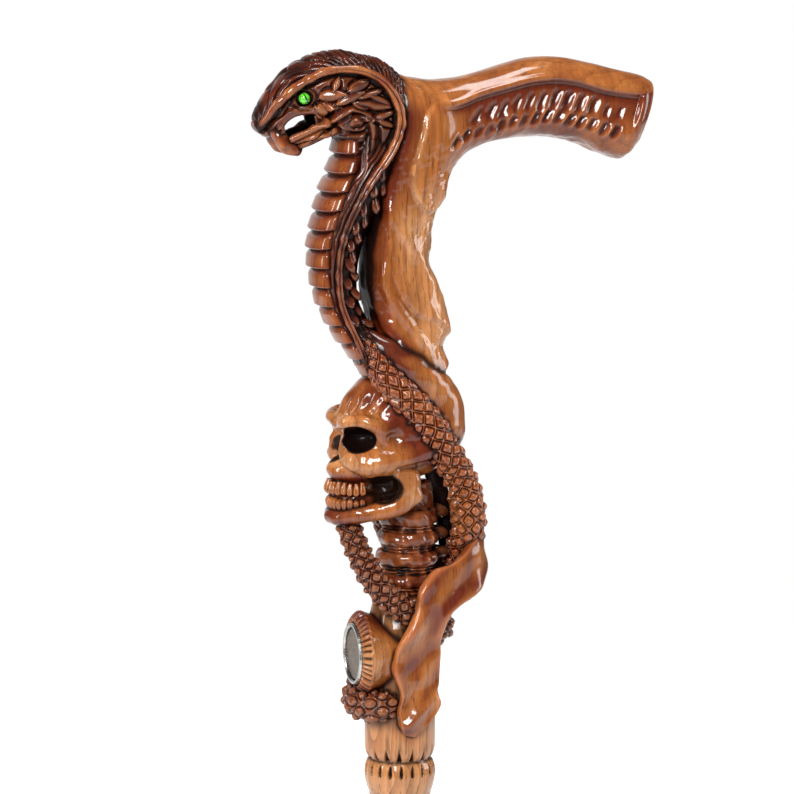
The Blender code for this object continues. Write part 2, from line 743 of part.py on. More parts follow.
def make_insert(material):
    """The threaded sleeve in the shaft's top that the stud screws into."""
    bore, top = STUD_RADIUS + GAP, SHAFT_TOP_Z - 0.4
    outline = [
        (bore, top - INSERT_LENGTH),
        (INSERT_RADIUS, top - INSERT_LENGTH),
        (INSERT_RADIUS, top),
        (bore + 0.6, top),
        (bore, top - 0.6),
    ]
    return make_turned("shaft_insert", outline, HIDDEN_SIDES, material)


def make_shaft(material):
    """A round stick that tapers evenly to the foot, hollowed at the top for its insert."""
    hole, hole_floor = INSERT_RADIUS + GAP, SHAFT_TOP_Z - 0.4 - INSERT_LENGTH - GAP
    outline = [
        (0.0, SHAFT_FOOT_Z),
        (SHAFT_FOOT_RADIUS - 1.0, SHAFT_FOOT_Z),
        (SHAFT_FOOT_RADIUS, SHAFT_FOOT_Z + 1.0),
        (SHAFT_FOOT_RADIUS, FERRULE_HEIGHT),
    ]
    spans = 4
    for i in range(1, spans + 1):
        share = i / spans
        radius = SHAFT_FOOT_RADIUS + (SHAFT_TOP_RADIUS - SHAFT_FOOT_RADIUS) * share
        outline.append((radius, FERRULE_HEIGHT + (SHAFT_TOP_Z - 1.0 - FERRULE_HEIGHT) * share))
    outline += [(SHAFT_TOP_RADIUS - 0.8, SHAFT_TOP_Z), (hole, SHAFT_TOP_Z), (hole, hole_floor), (0.0, hole_floor)]
    return make_turned("shaft", outline, TURNED_SIDES, material)


def make_ferrule(material):
    """The rubber foot: a socket for the shaft, a flared base and ring treads."""
    wall_radius, socket_radius, tread = 12.6, SHAFT_FOOT_RADIUS + GAP, 1.5
    outline = [(0.0, 0.0)]
    for inner, outer in ((6.0, 9.0), (12.0, 15.0)):
        outline += [(inner, 0.0), (inner + 0.5, tread), (outer - 0.5, tread), (outer, 0.0)]
    outline += [
        (FERRULE_BASE_RADIUS - 0.6, 0.0),
        (FERRULE_BASE_RADIUS, 0.7),
        (FERRULE_BASE_RADIUS, 3.4),
        (FERRULE_BASE_RADIUS - 0.7, 4.2),
        (FERRULE_BASE_RADIUS - 0.3, 5.4),
        (FERRULE_BASE_RADIUS - 1.2, 7.4),
        (14.4, 11.0),
        (wall_radius + 0.5, 15.0),
        (wall_radius, 20.0),
        (wall_radius, 34.0),
        (wall_radius + 0.8, 36.0),
        (wall_radius + 0.8, FERRULE_HEIGHT - 1.0),
        (wall_radius, FERRULE_HEIGHT),
        (socket_radius, FERRULE_HEIGHT),
        (socket_radius, SOCKET_FLOOR_Z),
        (0.0, SOCKET_FLOOR_Z),
    ]
    return make_turned("ferrule", outline, TURNED_SIDES, material)


def make_washer(material):
    radius, top = SHAFT_FOOT_RADIUS, WASHER_BASE_Z + WASHER_THICKNESS
    outline = [(0.0, WASHER_BASE_Z), (radius, WASHER_BASE_Z), (radius, top), (0.0, top)]
    return make_turned("ferrule_washer", outline, HIDDEN_SIDES, material)


def main():
    clear_scene()
    make_carved_handle(make_material("carved_wood", (0.42, 0.15, 0.045), 0.32))
    glass = make_material("eye_glass", (0.08, 0.7, 0.06), 0.05)
    make_eye("eye_left", -1, glass)
    make_eye("eye_right", 1, glass)
    make_medallion(
        make_material("medallion_silver", (0.75, 0.74, 0.72), 0.25, 1.0),
        make_material("medallion_bronze", (0.38, 0.3, 0.22), 0.4, 1.0),
    )
    make_collar(make_material("collar_black", (0.05, 0.05, 0.055), 0.35, 0.6))
    make_stud(make_material("stud_steel", (0.6, 0.6, 0.6), 0.35, 1.0))
    make_insert(make_material("insert_brass", (0.7, 0.5, 0.2), 0.3, 1.0))
    make_shaft(make_material("shaft_wood", (0.5, 0.25, 0.09), 0.35))
    make_ferrule(make_material("ferrule_rubber", (0.03, 0.03, 0.03), 0.7))
    make_washer(make_material("washer_steel", (0.55, 0.55, 0.55), 0.4, 1.0))


main()
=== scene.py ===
# The looks of a walking cane whose handle is one block of wood, carved as a cobra over a skull.
# The frame's axes: +Z up along the shaft, the grip runs to +X, the cobra faces -X, and the photograph's
# near side is -Y. Lengths of the carving and the camera are in millimetres, and MM turns them into metres.
# Those of the materials, the floor and the lamps are in metres.

import itertools
import math

import bpy
import numpy as np
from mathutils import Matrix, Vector
from mathutils.bvhtree import BVHTree


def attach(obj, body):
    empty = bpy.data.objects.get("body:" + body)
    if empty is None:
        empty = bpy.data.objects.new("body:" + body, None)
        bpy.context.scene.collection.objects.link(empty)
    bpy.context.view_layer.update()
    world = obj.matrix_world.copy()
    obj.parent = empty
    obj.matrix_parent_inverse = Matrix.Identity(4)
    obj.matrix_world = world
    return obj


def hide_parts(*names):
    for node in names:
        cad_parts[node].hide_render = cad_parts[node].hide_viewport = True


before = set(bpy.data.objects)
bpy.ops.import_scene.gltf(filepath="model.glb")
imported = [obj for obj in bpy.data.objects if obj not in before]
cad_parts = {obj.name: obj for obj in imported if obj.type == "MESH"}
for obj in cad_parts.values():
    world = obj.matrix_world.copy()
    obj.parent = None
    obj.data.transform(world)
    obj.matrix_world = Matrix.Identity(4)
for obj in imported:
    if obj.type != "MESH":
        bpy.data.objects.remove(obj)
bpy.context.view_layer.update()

MM = 0.001
HANDLE_BASE_Z = 618.0
HEAD_TOP_Z = 919.6
EYE_RADIUS = 2.2
EYE_CENTRE = (-42.4, 11.6, 901.2)
MEDALLION_Z = 676.7
SKULL_CELL = 0.42

CAMERA_TURN = -17.0
CAMERA_RISE = 8.3
CAMERA_DISTANCE = 1500.0
CAMERA_FIELD = 317.6
CAMERA_AIM = (-1.2, 0.0, 780.4)

carved = []


# Curves and grids of points

def curve_through(points, count):
    """Evenly spaced rows on a smooth curve through rows of x, y, z and any further values."""
    points = np.array(points, float)
    padded = np.vstack([2 * points[0] - points[1], points, 2 * points[-1] - points[-2]])
    t = np.linspace(0, 1, 24, endpoint=False)[:, None]
    spans = []
    for a, b, c, d in zip(padded, padded[1:], padded[2:], padded[3:]):
        cubic = 3 * (b - c) + d - a
        spans.append(b + 0.5 * t * (c - a + t * (2 * a - 5 * b + 4 * c - d + t * cubic)))
    fine = np.vstack(spans + [points[-1:]])
    travelled = distances_along(fine)
    wanted = np.linspace(0, travelled[-1], count)
    return np.column_stack([np.interp(wanted, travelled, column) for column in fine.T])


def running_total(steps):
    return np.concatenate([[0], np.cumsum(steps)])


def distances_along(rows):
    return running_total(np.linalg.norm(np.diff(rows[:, :3], axis=0), axis=1))


def side_line(points, count=60):
    """A smooth line on the side of the block, through points (x, z)."""
    points = np.array(points, float)
    rows = curve_through(np.column_stack([points[:, 0], np.zeros(len(points)), points[:, 1]]), count)
    return rows[:, [0, 2]]


def from_line(x, z, line):
    """The signed distance of places to a side line, positive on its right, and how far along they lie."""
    best = np.full(x.shape, 1e9)
    signed, along = np.zeros(x.shape), np.zeros(x.shape)
    travelled = 0.0
    for (ax, az), (bx, bz) in zip(line, line[1:]):
        length = math.hypot(bx - ax, bz - az)
        ux, uz = (bx - ax) / length, (bz - az) / length
        t = np.clip((x - ax) * ux + (z - az) * uz, 0, length)
        dx, dz = x - (ax + ux * t), z - (az + uz * t)
        distance = np.hypot(dx, dz)
        nearer = distance < best
        best = np.where(nearer, distance, best)
        signed = np.where(nearer, np.where(dx * uz - dz * ux >= 0, distance, -distance), signed)
        along = np.where(nearer, travelled + t, along)
        travelled += length
    return signed, along


def off_line(x, z, line):
    return from_line(x, z, line)[0]


def rise(low, high, value):
    """0 up to low, 1 from high on, and smooth between them."""
    t = np.clip((value - low) / (high - low), 0, 1)
    return t * t * (3 - 2 * t)


def fall(low, high, value):
    return 1 - rise(low, high, value)


def from_middle(phase):
    """How far a repeating pattern is from the middle of its own round: 0 there, 1 at either end."""
    return np.abs((phase % 1) - 0.5) * 2


def signed_power(value, power):
    return np.sign(value) * np.abs(value) ** power


def unit(way):
    return way / np.linalg.norm(way)


def bump(value, centre, width):
    """1 at the centre, falling smoothly to 0 a few widths away."""
    return np.exp(-(((value - centre) / width) ** 2))


def step_along(off, width, high, low):
    """A step at a line: raised left of it and sunk right of it. high and low are how far, and how far off
    the line each fades away."""
    up = high[0] * rise(-width, width, -off) * np.exp(-np.clip(-off, 0, None) / high[1])
    down = low[0] * rise(-width, width, off) * np.exp(-np.clip(off, 0, None) / low[1])
    return up - down


def on_side(normals, low, high):
    """1 where the skin faces sideways, 0 where it faces front, back, up or down."""
    return rise(low, high, np.abs(normals[:, 1]))


def ripple(x, y, z, size, seed):
    """Uneven ups and downs between about -1 and 1, a given size across, the same each run."""
    picker = np.random.default_rng(seed)
    total = np.zeros(np.shape(x))
    waves = 7
    for _ in range(waves):
        way = picker.normal(size=3)
        way *= 2 * math.pi / (size * np.linalg.norm(way) * picker.uniform(0.7, 1.6))
        total += np.sin(x * way[0] + y * way[1] + z * way[2] + picker.uniform(0, 6.3))
    return total / math.sqrt(waves)


def ribbed_grid(ribs, rings, sides, fullness=2.3, dome=0.0, crowd=0.0):
    """Rings of points through upright ribs: first edge x, z, second edge x, z, half width in Y.
    A dome rounds the first end off by that much; crowd puts more of the points near the first edge."""
    ribs = np.array(ribs, float)
    first, second, width = ribs[:, 0:2], ribs[:, 2:4], ribs[:, 4]
    middle, reach = (first + second) / 2, (first - second) / 2
    rows = curve_through(np.column_stack([middle[:, 0], 0 * width, middle[:, 1], reach, width]), rings)
    angle = circle(sides, crowd)
    along = signed_power(np.cos(angle), 2 / fullness)
    across = signed_power(np.sin(angle), 2 / fullness)
    x, z = rows[:, 0:1] + rows[:, 3:4] * along, rows[:, 2:3] + rows[:, 4:5] * along
    grid = np.stack([x, rows[:, 5:6] * across, z], -1)
    if dome:
        centre, outward = rows[0, :3], unit(rows[0, :3] - rows[1, :3])
        cap = []
        for turn in np.radians(np.linspace(6, 84, 16)):
            cap.append(centre + (grid[0] - centre) * math.sin(turn) + outward * dome * math.cos(turn))
        grid = np.vstack([np.array(cap), grid])
    return grid


def circle(sides, crowd=0.0):
    """Angles once round. crowd draws them together near 0."""
    turn = np.linspace(0, 2 * math.pi, sides, endpoint=False)
    return turn - crowd * np.sin(turn)


def egg_distance(x, y, z, centre, radii, turn=0.0):
    """About how far places lie outside an egg. turn is about the upright axis, in degrees."""
    c, s = math.cos(math.radians(turn)), math.sin(math.radians(turn))
    dx, dy, dz = x - centre[0], y - centre[1], z - centre[2]
    a, b = dx * c + dy * s, dy * c - dx * s
    rx, ry, rz = radii
    scaled = np.sqrt((a / rx) ** 2 + (b / ry) ** 2 + (dz / rz) ** 2)
    steep = np.sqrt((a / rx**2) ** 2 + (b / ry**2) ** 2 + (dz / rz**2) ** 2)
    return scaled * (scaled - 1) / np.maximum(steep, 1e-4)


def tube_grid(path, rings, sides):
    """Rings of points around rows of x, y, z, radius."""
    rows = curve_through(path, rings)
    heading = np.gradient(rows[:, :3], axis=0)
    heading /= np.linalg.norm(heading, axis=1)[:, None]
    side = np.cross(heading[0], [0.3, 0.5, 0.81])
    angle = circle(sides)
    grid = []
    for way, row in zip(heading, rows):
        side = unit(side - way * (side @ way))
        ring = np.outer(np.cos(angle), side) + np.outer(np.sin(angle), np.cross(way, side))
        grid.append(row[:3] + row[3] * ring)
    return np.array(grid)


def turned_grid(outline, sides, step, centre=(0, 0, 0), axis="Z"):
    """Rings of points on a turned form. The outline is (radius, height), with a point added every step."""
    fine = []
    for (r0, h0), (r1, h1) in zip(outline, outline[1:]):
        parts = max(1, int(math.hypot(r1 - r0, h1 - h0) / step))
        fine += [(r0 + (r1 - r0) * i / parts, h0 + (h1 - h0) * i / parts) for i in range(parts)]
    radius, height = np.array(fine + [outline[-1]]).T
    a, b = np.outer(radius, np.cos(circle(sides))), np.outer(radius, np.sin(circle(sides)))
    c = np.repeat(height[:, None], sides, axis=1)
    around = (a, b, c) if axis == "Z" else (-c, b, a)
    return np.stack(around, axis=-1) + np.array(centre)


def grid_faces(rings, sides):
    """Triangles between rings that close around, with a fan at each end."""
    i, j = np.meshgrid(np.arange(rings - 1), np.arange(sides), indexing="ij")
    a, b = i * sides + j, i * sides + (j + 1) % sides
    c, d = b + sides, a + sides
    k = np.arange(sides)
    top, bottom, last = rings * sides, rings * sides + 1, (rings - 1) * sides
    corners = [
        (a, b, c),
        (a, c, d),
        ((k + 1) % sides, k, np.full(sides, top)),
        (last + k, last + (k + 1) % sides, np.full(sides, bottom)),
    ]
    return np.concatenate([np.stack(three, -1).reshape(-1, 3) for three in corners])


def grid_mesh(grid):
    """Points and triangles of a grid, turned so that the faces look out."""
    rings, sides, _ = grid.shape
    points = np.concatenate([grid.reshape(-1, 3), [grid[0].mean(0)], [grid[-1].mean(0)]])
    faces = grid_faces(rings, sides)
    corners = points[faces]
    volume = np.einsum("ij,ij->i", corners[:, 0], np.cross(corners[:, 1], corners[:, 2])).sum()
    return points, faces if volume > 0 else faces[:, ::-1]


def joined(parts):
    """Several (points, faces) as one."""
    counts = running_total([len(points) for points, _ in parts])
    points = np.concatenate([points for points, _ in parts])
    return points, np.concatenate([faces + count for (_, faces), count in zip(parts, counts)])


def mirrored(mesh):
    points, faces = mesh
    return points * [1, -1, 1], faces[:, ::-1]


def both_sides(mesh):
    return joined([mesh, mirrored(mesh)])


def tube_pair(path, rings, sides):
    return both_sides(grid_mesh(tube_grid(path, rings, sides)))


def normals_of(points, faces):
    a, b, c = (points[faces[:, corner]] for corner in range(3))
    face_normals = np.cross(b - a, c - a)
    total = np.zeros_like(points)
    for corner in range(3):
        for axis in range(3):
            total[:, axis] += np.bincount(faces[:, corner], face_normals[:, axis], len(points))
    return total / np.maximum(np.linalg.norm(total, axis=1), 1e-9)[:, None]


def raised(mesh, relief):
    """Pushes the skin out along its normals by relief(x, y, z, normals), in millimetres."""
    points, faces = mesh
    normals = normals_of(points, faces)
    return points + normals * relief(*points.T, normals)[:, None], faces


def hollows(points, faces, reach):
    """How far each point lies below the skin around it, smoothed by as many rounds as reach says."""
    start, end = np.concatenate([faces[:, [0, 1]], faces[:, [1, 2]], faces[:, [2, 0]]]).T
    total = len(points)
    count = np.bincount(start, minlength=total) + 1.0
    soft = points.copy()
    for _ in range(reach):
        soft = np.stack([(axis + np.bincount(start, axis[end], total)) / count for axis in soft.T], -1)
    return np.einsum("ij,ij->i", soft - points, normals_of(points, faces))


# Pieces

def mesh_object(name, points, faces, material):
    mesh = bpy.data.meshes.new(name)
    mesh.vertices.add(len(points))
    mesh.vertices.foreach_set("co", (points * MM).astype(np.float32).ravel())
    mesh.loops.add(faces.size)
    mesh.loops.foreach_set("vertex_index", faces.astype(np.int32).ravel())
    mesh.polygons.add(len(faces))
    mesh.polygons.foreach_set("loop_start", np.arange(0, faces.size, 3, dtype=np.int32))
    mesh.update(calc_edges=True)
    mesh.validate()
    mesh.materials.append(material)
    mesh.shade_smooth()
    return placed(name, mesh)


def placed(name, data):
    """A new object of the scene with this mesh, lamp or camera."""
    made = bpy.data.objects.new(name, data)
    bpy.context.scene.collection.objects.link(made)
    return made


def read(items, key, width, kind=np.float32):
    """A value of each vertex, face or attribute item of a mesh, as an array with width columns."""
    values = np.empty(len(items) * width, kind)
    items.foreach_get(key, values)
    return values.reshape(-1, width) if width > 1 else values


def set_values(piece, name, values):
    layer = piece.data.attributes.get(name) or piece.data.attributes.new(name, "FLOAT", "POINT")
    layer.data.foreach_set("value", np.asarray(values, np.float32))


def carve(name, mesh, stain=1.0, shade=0.0, depth=0.5, reach=10):
    """A carved piece of the handle. stain goes from pale at -1 over golden at 0 to mahogany at 1, shade is
    dark stain brushed on, and stain also settles in hollows: depth is how deep a hollow must be to come
    out dark. In some pieces stain and shade also hold painted light, painted shade and painted shadow,
    which is said where they are made. Each is a number, a value for each point, or a function of x, y, z
    and the normals."""
    points, faces = mesh
    piece = mesh_object(name, points, faces, wood)
    normals = normals_of(points, faces)
    stain, shade, depth = (v(*points.T, normals) if callable(v) else v for v in (stain, shade, depth))
    hollow = hollows(points, faces, reach)
    set_values(piece, "stain", np.full(len(points), stain))
    set_values(piece, "shade", 1 - (1 - shade) * fall(0.05, depth, hollow))
    set_values(piece, "worn", rise(0.08, depth * 1.4, -hollow))
    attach(piece, "handle")
    carved.append(piece)


def darken_contacts(reach=5.0):
    """Brushes dark stain into the joints where carved pieces meet, and reddish stain some way around them.
    The thin ribbon and the belly plates, whose own stain says it all, are left as they are."""
    skins = []
    for piece in carved:
        points = read(piece.data.vertices, "co", 3) / MM
        faces = read(piece.data.polygons, "vertices", 3, np.int32)
        tree = BVHTree.FromPolygons(points.tolist(), faces.tolist())
        skins.append((piece, points, tree, points.min(0) - reach, points.max(0) + reach))
    for piece, points, *_ in skins:
        if piece.name in ("ribbon", "belly_plates"):
            continue
        nearest = np.full(len(points), 9.0)
        for other, _, tree, low, high in skins:
            inside = ((points > low) & (points < high)).all(1) & (other != piece)
            for index in np.nonzero(inside)[0]:
                distance = tree.find_nearest(points[index].tolist(), min(reach, nearest[index]))[3]
                nearest[index] = nearest[index] if distance is None else distance
        layers = piece.data.attributes
        meeting = 0.9 * fall(0.15, 1.6, nearest)
        set_values(piece, "shade", 1 - (1 - read(layers["shade"].data, "value", 1)) * (1 - meeting))
        set_values(piece, "stain", read(layers["stain"].data, "value", 1) + 0.7 * fall(0.3, reach, nearest))


# Materials

class Nodes:
    """Adds the nodes of a material or a world by short calls."""

    def __init__(self, owner):
        owner.use_nodes = True
        self.tree = owner.node_tree

    def feed(self, socket, value):
        if isinstance(value, bpy.types.NodeSocket):
            self.tree.links.new(value, socket)
        else:
            socket.default_value = value

    def node(self, kind, inputs=None, **settings):
        made = self.tree.nodes.new("ShaderNode" + kind)
        for key, value in settings.items():
            setattr(made, key, value)
        for socket, value in (inputs or {}).items():
            self.feed(made.inputs[socket], value)
        return made

    def math(self, operation, a, b=0.0):
        return self.node("Math", {0: a, 1: b}, operation=operation).outputs[0]

    def highest(self, value, *others):
        for other in others:
            value = self.math("MAXIMUM", value, other)
        return value

    def length(self, vector):
        return self.node("VectorMath", {0: vector}, operation="LENGTH").outputs["Value"]

    def place(self, stretch=(1, 1, 1)):
        where = self.node("TexCoord").outputs["Object"]
        return self.node("Mapping", {"Vector": where, "Scale": stretch}).outputs[0]

    def noise(self, scale, stretch=(1, 1, 1), detail=3.0, distortion=0.0):
        inputs = {"Vector": self.place(stretch), "Scale": scale, "Detail": detail, "Distortion": distortion}
        return self.node("TexNoise", inputs).outputs["Fac"]

    def spread(self, value, low, high, to_low=0.0, to_high=1.0):
        inputs = {"Value": value, "From Min": low, "From Max": high, "To Min": to_low, "To Max": to_high}
        return self.node("MapRange", inputs).outputs[0]

    def value(self, name):
        return self.node("Attribute", attribute_name=name).outputs["Fac"]

    def mix(self, factor, a, b, way="MIX"):
        return self.node("Mix", {0: factor, 6: a, 7: b}, data_type="RGBA", blend_type=way).outputs[2]

    def bump(self, height, distance, strength=1.0, under=None):
        inputs = {"Height": height, "Distance": distance, "Strength": strength}
        if under is not None:
            inputs["Normal"] = under
        return self.node("Bump", inputs).outputs[0]


class Shader(Nodes):
    """A material on a Principled shader."""

    def __init__(self, name):
        self.material = bpy.data.materials.new(name)
        super().__init__(self.material)

    def set(self, **values):
        """Feeds sockets of the Principled shader. A name's underlines stand for spaces."""
        for key, value in values.items():
            self.feed(self.tree.nodes["Principled BSDF"].inputs[key.replace("_", " ")], value)


def grey(value):
    return (value, value, value, 1)


def growth_rings(shader, heart, pitch):
    """Dark lines where the surface cuts the tree's yearly rings, around an upright heart line."""
    offset = shader.node("VectorMath", {0: shader.place((1, 1, 0.06)), 1: heart}, operation="SUBTRACT")
    wander = shader.math("MULTIPLY", shader.noise(38.0, (1, 1, 0.3), 2.0), pitch * 2.6)
    radius = shader.math("ADD", shader.length(offset.outputs[0]), wander)
    turn = shader.math("FRACT", shader.math("DIVIDE", radius, pitch))
    return shader.math("POWER", turn, 5.0)


def make_wood(name, golden, mahogany, heart, stained=None):
    """Brown wood under gloss lacquer. stained holds the other colours of the carved wood, which follows
    the stain, shade and worn values of its pieces: its pale wood, its darkest recess and its worn edges."""
    shader = Shader(name)
    fibre = shader.noise(420.0, (1, 1, 0.045), 5.0)
    streak = shader.noise(110.0, (1, 1, 0.12), 3.0, 0.4)
    blotch = shader.noise(60.0, (1, 1, 0.6), 3.0)
    pores = shader.spread(shader.noise(1500.0, (1, 1, 0.05), 2.0), 0.6, 0.72)
    rings = growth_rings(shader, heart, 0.0036)
    if stained:
        pale, recess, light = stained
        stain = shader.math("ADD", shader.value("stain"), shader.spread(blotch, 0.3, 0.7, -0.25, 0.25))
        base = shader.mix(shader.spread(stain, -1.0, 0.0), pale, golden)
        base = shader.mix(shader.spread(stain, 0.0, 1.0), base, mahogany)
        rings = shader.math("MULTIPLY", rings, shader.spread(stain, -0.2, 0.7, 1.0, 0.15))
    else:
        base = shader.mix(shader.spread(blotch, 0.3, 0.7), golden, mahogany)
    for amount, colour in (
        (shader.spread(fibre, 0.3, 0.7, 0.5, 0.0), grey(0.25)),
        (shader.spread(streak, 0.35, 0.7, 0.4, 0.0), (0.5, 0.3, 0.2, 1)),
        (shader.math("MULTIPLY", rings, 0.6), (0.36, 0.2, 0.12, 1)),
        (shader.math("MULTIPLY", pores, 0.65), (0.2, 0.11, 0.07, 1)),
    ):
        base = shader.mix(amount, base, colour, "MULTIPLY")
    coat = 0.6
    if stained:
        shade = shader.value("shade")
        base = shader.mix(shader.math("MULTIPLY", shader.value("worn"), 0.5), base, light)
        # shade darkens towards the recess colour, for dark stain and for painted shade alike.
        base = shader.mix(shade, base, recess)
        coat = shader.spread(shade, 0.4, 1.0, 0.8, 0.1)
    waves = shader.bump(shader.noise(170.0, (1, 1, 0.6), 2.0), 0.0009, 0.4)
    dents = shader.bump(shader.noise(650.0, (1, 1, 0.5), 2.0), 0.00022, 0.6, waves)
    grain = shader.bump(shader.math("SUBTRACT", fibre, pores), 0.0001, 0.5, dents)
    shader.set(Base_Color=base, Roughness=0.55, IOR=1.4, Specular_IOR_Level=0.1, Normal=grain)
    shader.set(Coat_Weight=coat, Coat_IOR=1.55, Coat_Roughness=0.12)
    return shader.material


def make_metal(name, colour, rough, tarnish=0.35):
    shader = Shader(name)
    cloud = shader.noise(225.0, detail=4.0)
    fine = shader.noise(900.0)
    shader.set(
        Metallic=1.0,
        Base_Color=shader.mix(shader.spread(cloud, 0.35, 0.7, 0.0, tarnish), colour, grey(0.12)),
        Roughness=shader.spread(fine, 0.3, 0.7, rough - 0.06, rough + 0.12),
        Normal=shader.bump(fine, 0.00003, 0.4),
    )
    return shader.material


def make_paint(name, colour, rough):
    shader = Shader(name)
    cloud = shader.noise(260.0, detail=4.0)
    worn = [c * 1.7 for c in colour[:3]] + [1]
    shader.set(
        Base_Color=shader.mix(shader.spread(cloud, 0.3, 0.7), colour, worn),
        Roughness=shader.spread(cloud, 0.3, 0.7, rough - 0.05, rough + 0.1),
        Normal=shader.bump(shader.noise(2600.0, detail=2.0), 0.00005, 0.5),
    )
    return shader.material


def make_glass_eye(name):
    """Green glass over foil: bright patches under a clear dome, a dark upright slit, and a faint painted glow
    that stands in for light off the foil.
    """
    shader = Shader(name)
    flecks = shader.spread(shader.noise(900.0, detail=3.0, distortion=1.5), 0.35, 0.65)
    green = shader.mix(flecks, (0.01, 0.22, 0.01, 1), (0.16, 0.85, 0.04, 1))
    slit = shader.value("slit")
    shader.set(
        Base_Color=shader.mix(slit, green, (0.002, 0.006, 0.002, 1)),
        Roughness=0.06,
        # The emission is a painted glow: the eye shines a little though it is no lamp.
        Emission_Color=shader.mix(slit, green, grey(0)),
        Emission_Strength=0.25,
        Coat_Weight=1.0,
        Coat_Roughness=0.02,
    )
    return shader.material


wood = make_wood(
    "carved_wood",
    golden=(0.5, 0.165, 0.036, 1),
    mahogany=(0.19, 0.027, 0.006, 1),
    heart=(0.062, 0.03, 0),
    stained=((0.72, 0.34, 0.13, 1), (0.006, 0.002, 0.0014, 1), (0.62, 0.2, 0.06, 1)),
)
shaft_wood = make_wood("shaft_wood", (0.46, 0.19, 0.055, 1), (0.33, 0.11, 0.03, 1), heart=(0.02, 0.05, 0))


# The grip and the draped neck

GRIP_RIBS = [
    (104.4, 905.4, 95.6, 877.4, 13), (99.6, 907.6, 91.2, 874, 15.6), (88.6, 910.2, 81.8, 876.8, 14.6),
    (79.8, 912.4, 74, 880.6, 13.8), (67, 915, 63, 883, 13.6), (54.3, 915.2, 51.5, 883.7, 13.8),
    (43.8, 912.9, 42.2, 882.7, 14.2), (33.3, 909.9, 33.8, 880.9, 14.2), (22.9, 907.7, 26.7, 878.2, 14.2),
    (12.5, 907, 22.1, 873.6, 15), (3, 908.4, 19.3, 868.5, 15.8), (-5.6, 909.2, 17.8, 863.5, 16.4),
    (-9.8, 893, 16.8, 859.6, 16.4), (-10.4, 875, 14, 855.2, 15.6), (-12, 859, 12.4, 848.6, 14.6),
    (-15.2, 845, 11.8, 841, 14), (-16, 835, 11.2, 835.4, 14), (-15.8, 826, 14.4, 827.2, 14.6),
    (-13.4, 816, 18.2, 816.4, 15.2), (-12, 807, 18.8, 807, 16), (-11, 801, 16.2, 801.6, 16.4),
    (-9.6, 794, 18, 794.4, 16.8), (-8, 786, 17, 787, 16), (-6, 776, 14, 776, 14),
]
RIDGE = side_line([
    (2, 904.9), (6.1, 901.2), (9.5, 898.5), (15, 897.1), (21.9, 898.3), (30.1, 901.4), (39.7, 903.8),
    (50.8, 906.3), (61.2, 907.1), (71.7, 905.6), (82.3, 902.4), (92.8, 900.9), (102, 900.9),
])
LAYER_EDGE = side_line([
    (9.7, 898.5), (6.3, 894), (4.9, 887.5), (2.9, 881), (0.5, 872.6), (0.5, 866.1), (2.9, 860.1),
    (7.7, 855.4), (10.8, 856), (14.2, 859.2), (18.5, 864),
])
LOWER_HEM = side_line([
    (-15, 818), (-12.5, 816.4), (-9.9, 809.2), (-3.1, 799.8), (4.9, 793.9), (12.8, 791.5), (19.5, 797),
])
MIDDLE_HEM = side_line([(-3.4, 822), (-2.5, 820.6), (2.7, 815.3), (9.1, 812.6), (14, 810), (18.5, 803.5)])
FOLDS = [(side_line(points), height, width) for points, height, width in (
    ([(0.4, 858), (0.6, 852.9), (1.1, 844.3), (4.3, 837.1), (9.6, 827.8), (12.6, 820)], 0.9, 2.2),
    ([(-8.6, 866), (-8.3, 859.7), (-7.3, 854.6), (-3.1, 847.4), (0.1, 843.3), (2, 838)], 0.7, 1.4),
    ([(-9.9, 840), (-9.9, 834.5), (-9.4, 826.4), (-4.7, 817.6), (0.6, 809.8), (4.9, 803.6), (9, 799)],
     1.1, 1.5),
    ([(-5, 843), (-4.6, 834), (-2.4, 826), (1.5, 818.5)], 0.5, 1.2),
    ([(6, 822), (10.5, 814), (15, 808)], 0.5, 1.8),
)]


def gouge(x, z, centre, lean, half_length, half_width, depth):
    """A scooped hollow with a rounded lip along each side, as a gouge leaves it."""
    c, s = math.cos(math.radians(lean)), math.sin(math.radians(lean))
    a = (x - centre[0]) * s + (z - centre[1]) * c
    b = (x - centre[0]) * c - (z - centre[1]) * s
    end = np.exp(-((a / half_length) ** 4))
    hollow = bump(b, -0.2 * half_width, 0.95 * half_width)
    lip = 0.4 * bump(np.abs(b), half_width * 1.45, half_width * 0.5)
    return end * depth * (lip - hollow)


def in_panel(x, z):
    """1 inside the sunk panel of the palm grip."""
    panel_end = 91.6 + 0.32 * (z - 881)
    return rise(12, 24, x + 0.25 * (z - 890)) * fall(-1.5, 1.0, x - panel_end)


def gouge_rows(x, z):
    """The height of both rows of gouge cuts: long ones under the ridge, short ones below them."""
    height = np.zeros_like(x)
    for i in range(12):
        cx = 28.9 + 5.35 * i
        cz = np.interp(cx, RIDGE[:, 0], RIDGE[:, 1]) - 8.2 + 0.4 * math.sin(2.3 * i)
        size = 1.0 if i < 10 else 0.7
        deep = 0.9 * size + 0.12 * math.sin(1.1 * i)
        height += in_panel(x, z) * gouge(x, z, (cx, cz), 33 - 1.2 * i, 4.4 * size, 1.9 * size, deep)
    for i in range(15):
        cx = 19.5 + 4.75 * i
        cz = np.interp(cx + 2, RIDGE[:, 0], RIDGE[:, 1]) - 15.4 + 0.5 * math.sin(1.7 * i)
        ends = rise(8, 20, x) * fall(86, 92, x)
        height += ends * gouge(x, z, (cx, cz), 42 - 0.8 * i, 3.1, 1.4, 1.0 + 0.15 * math.sin(1.9 * i))
    return height


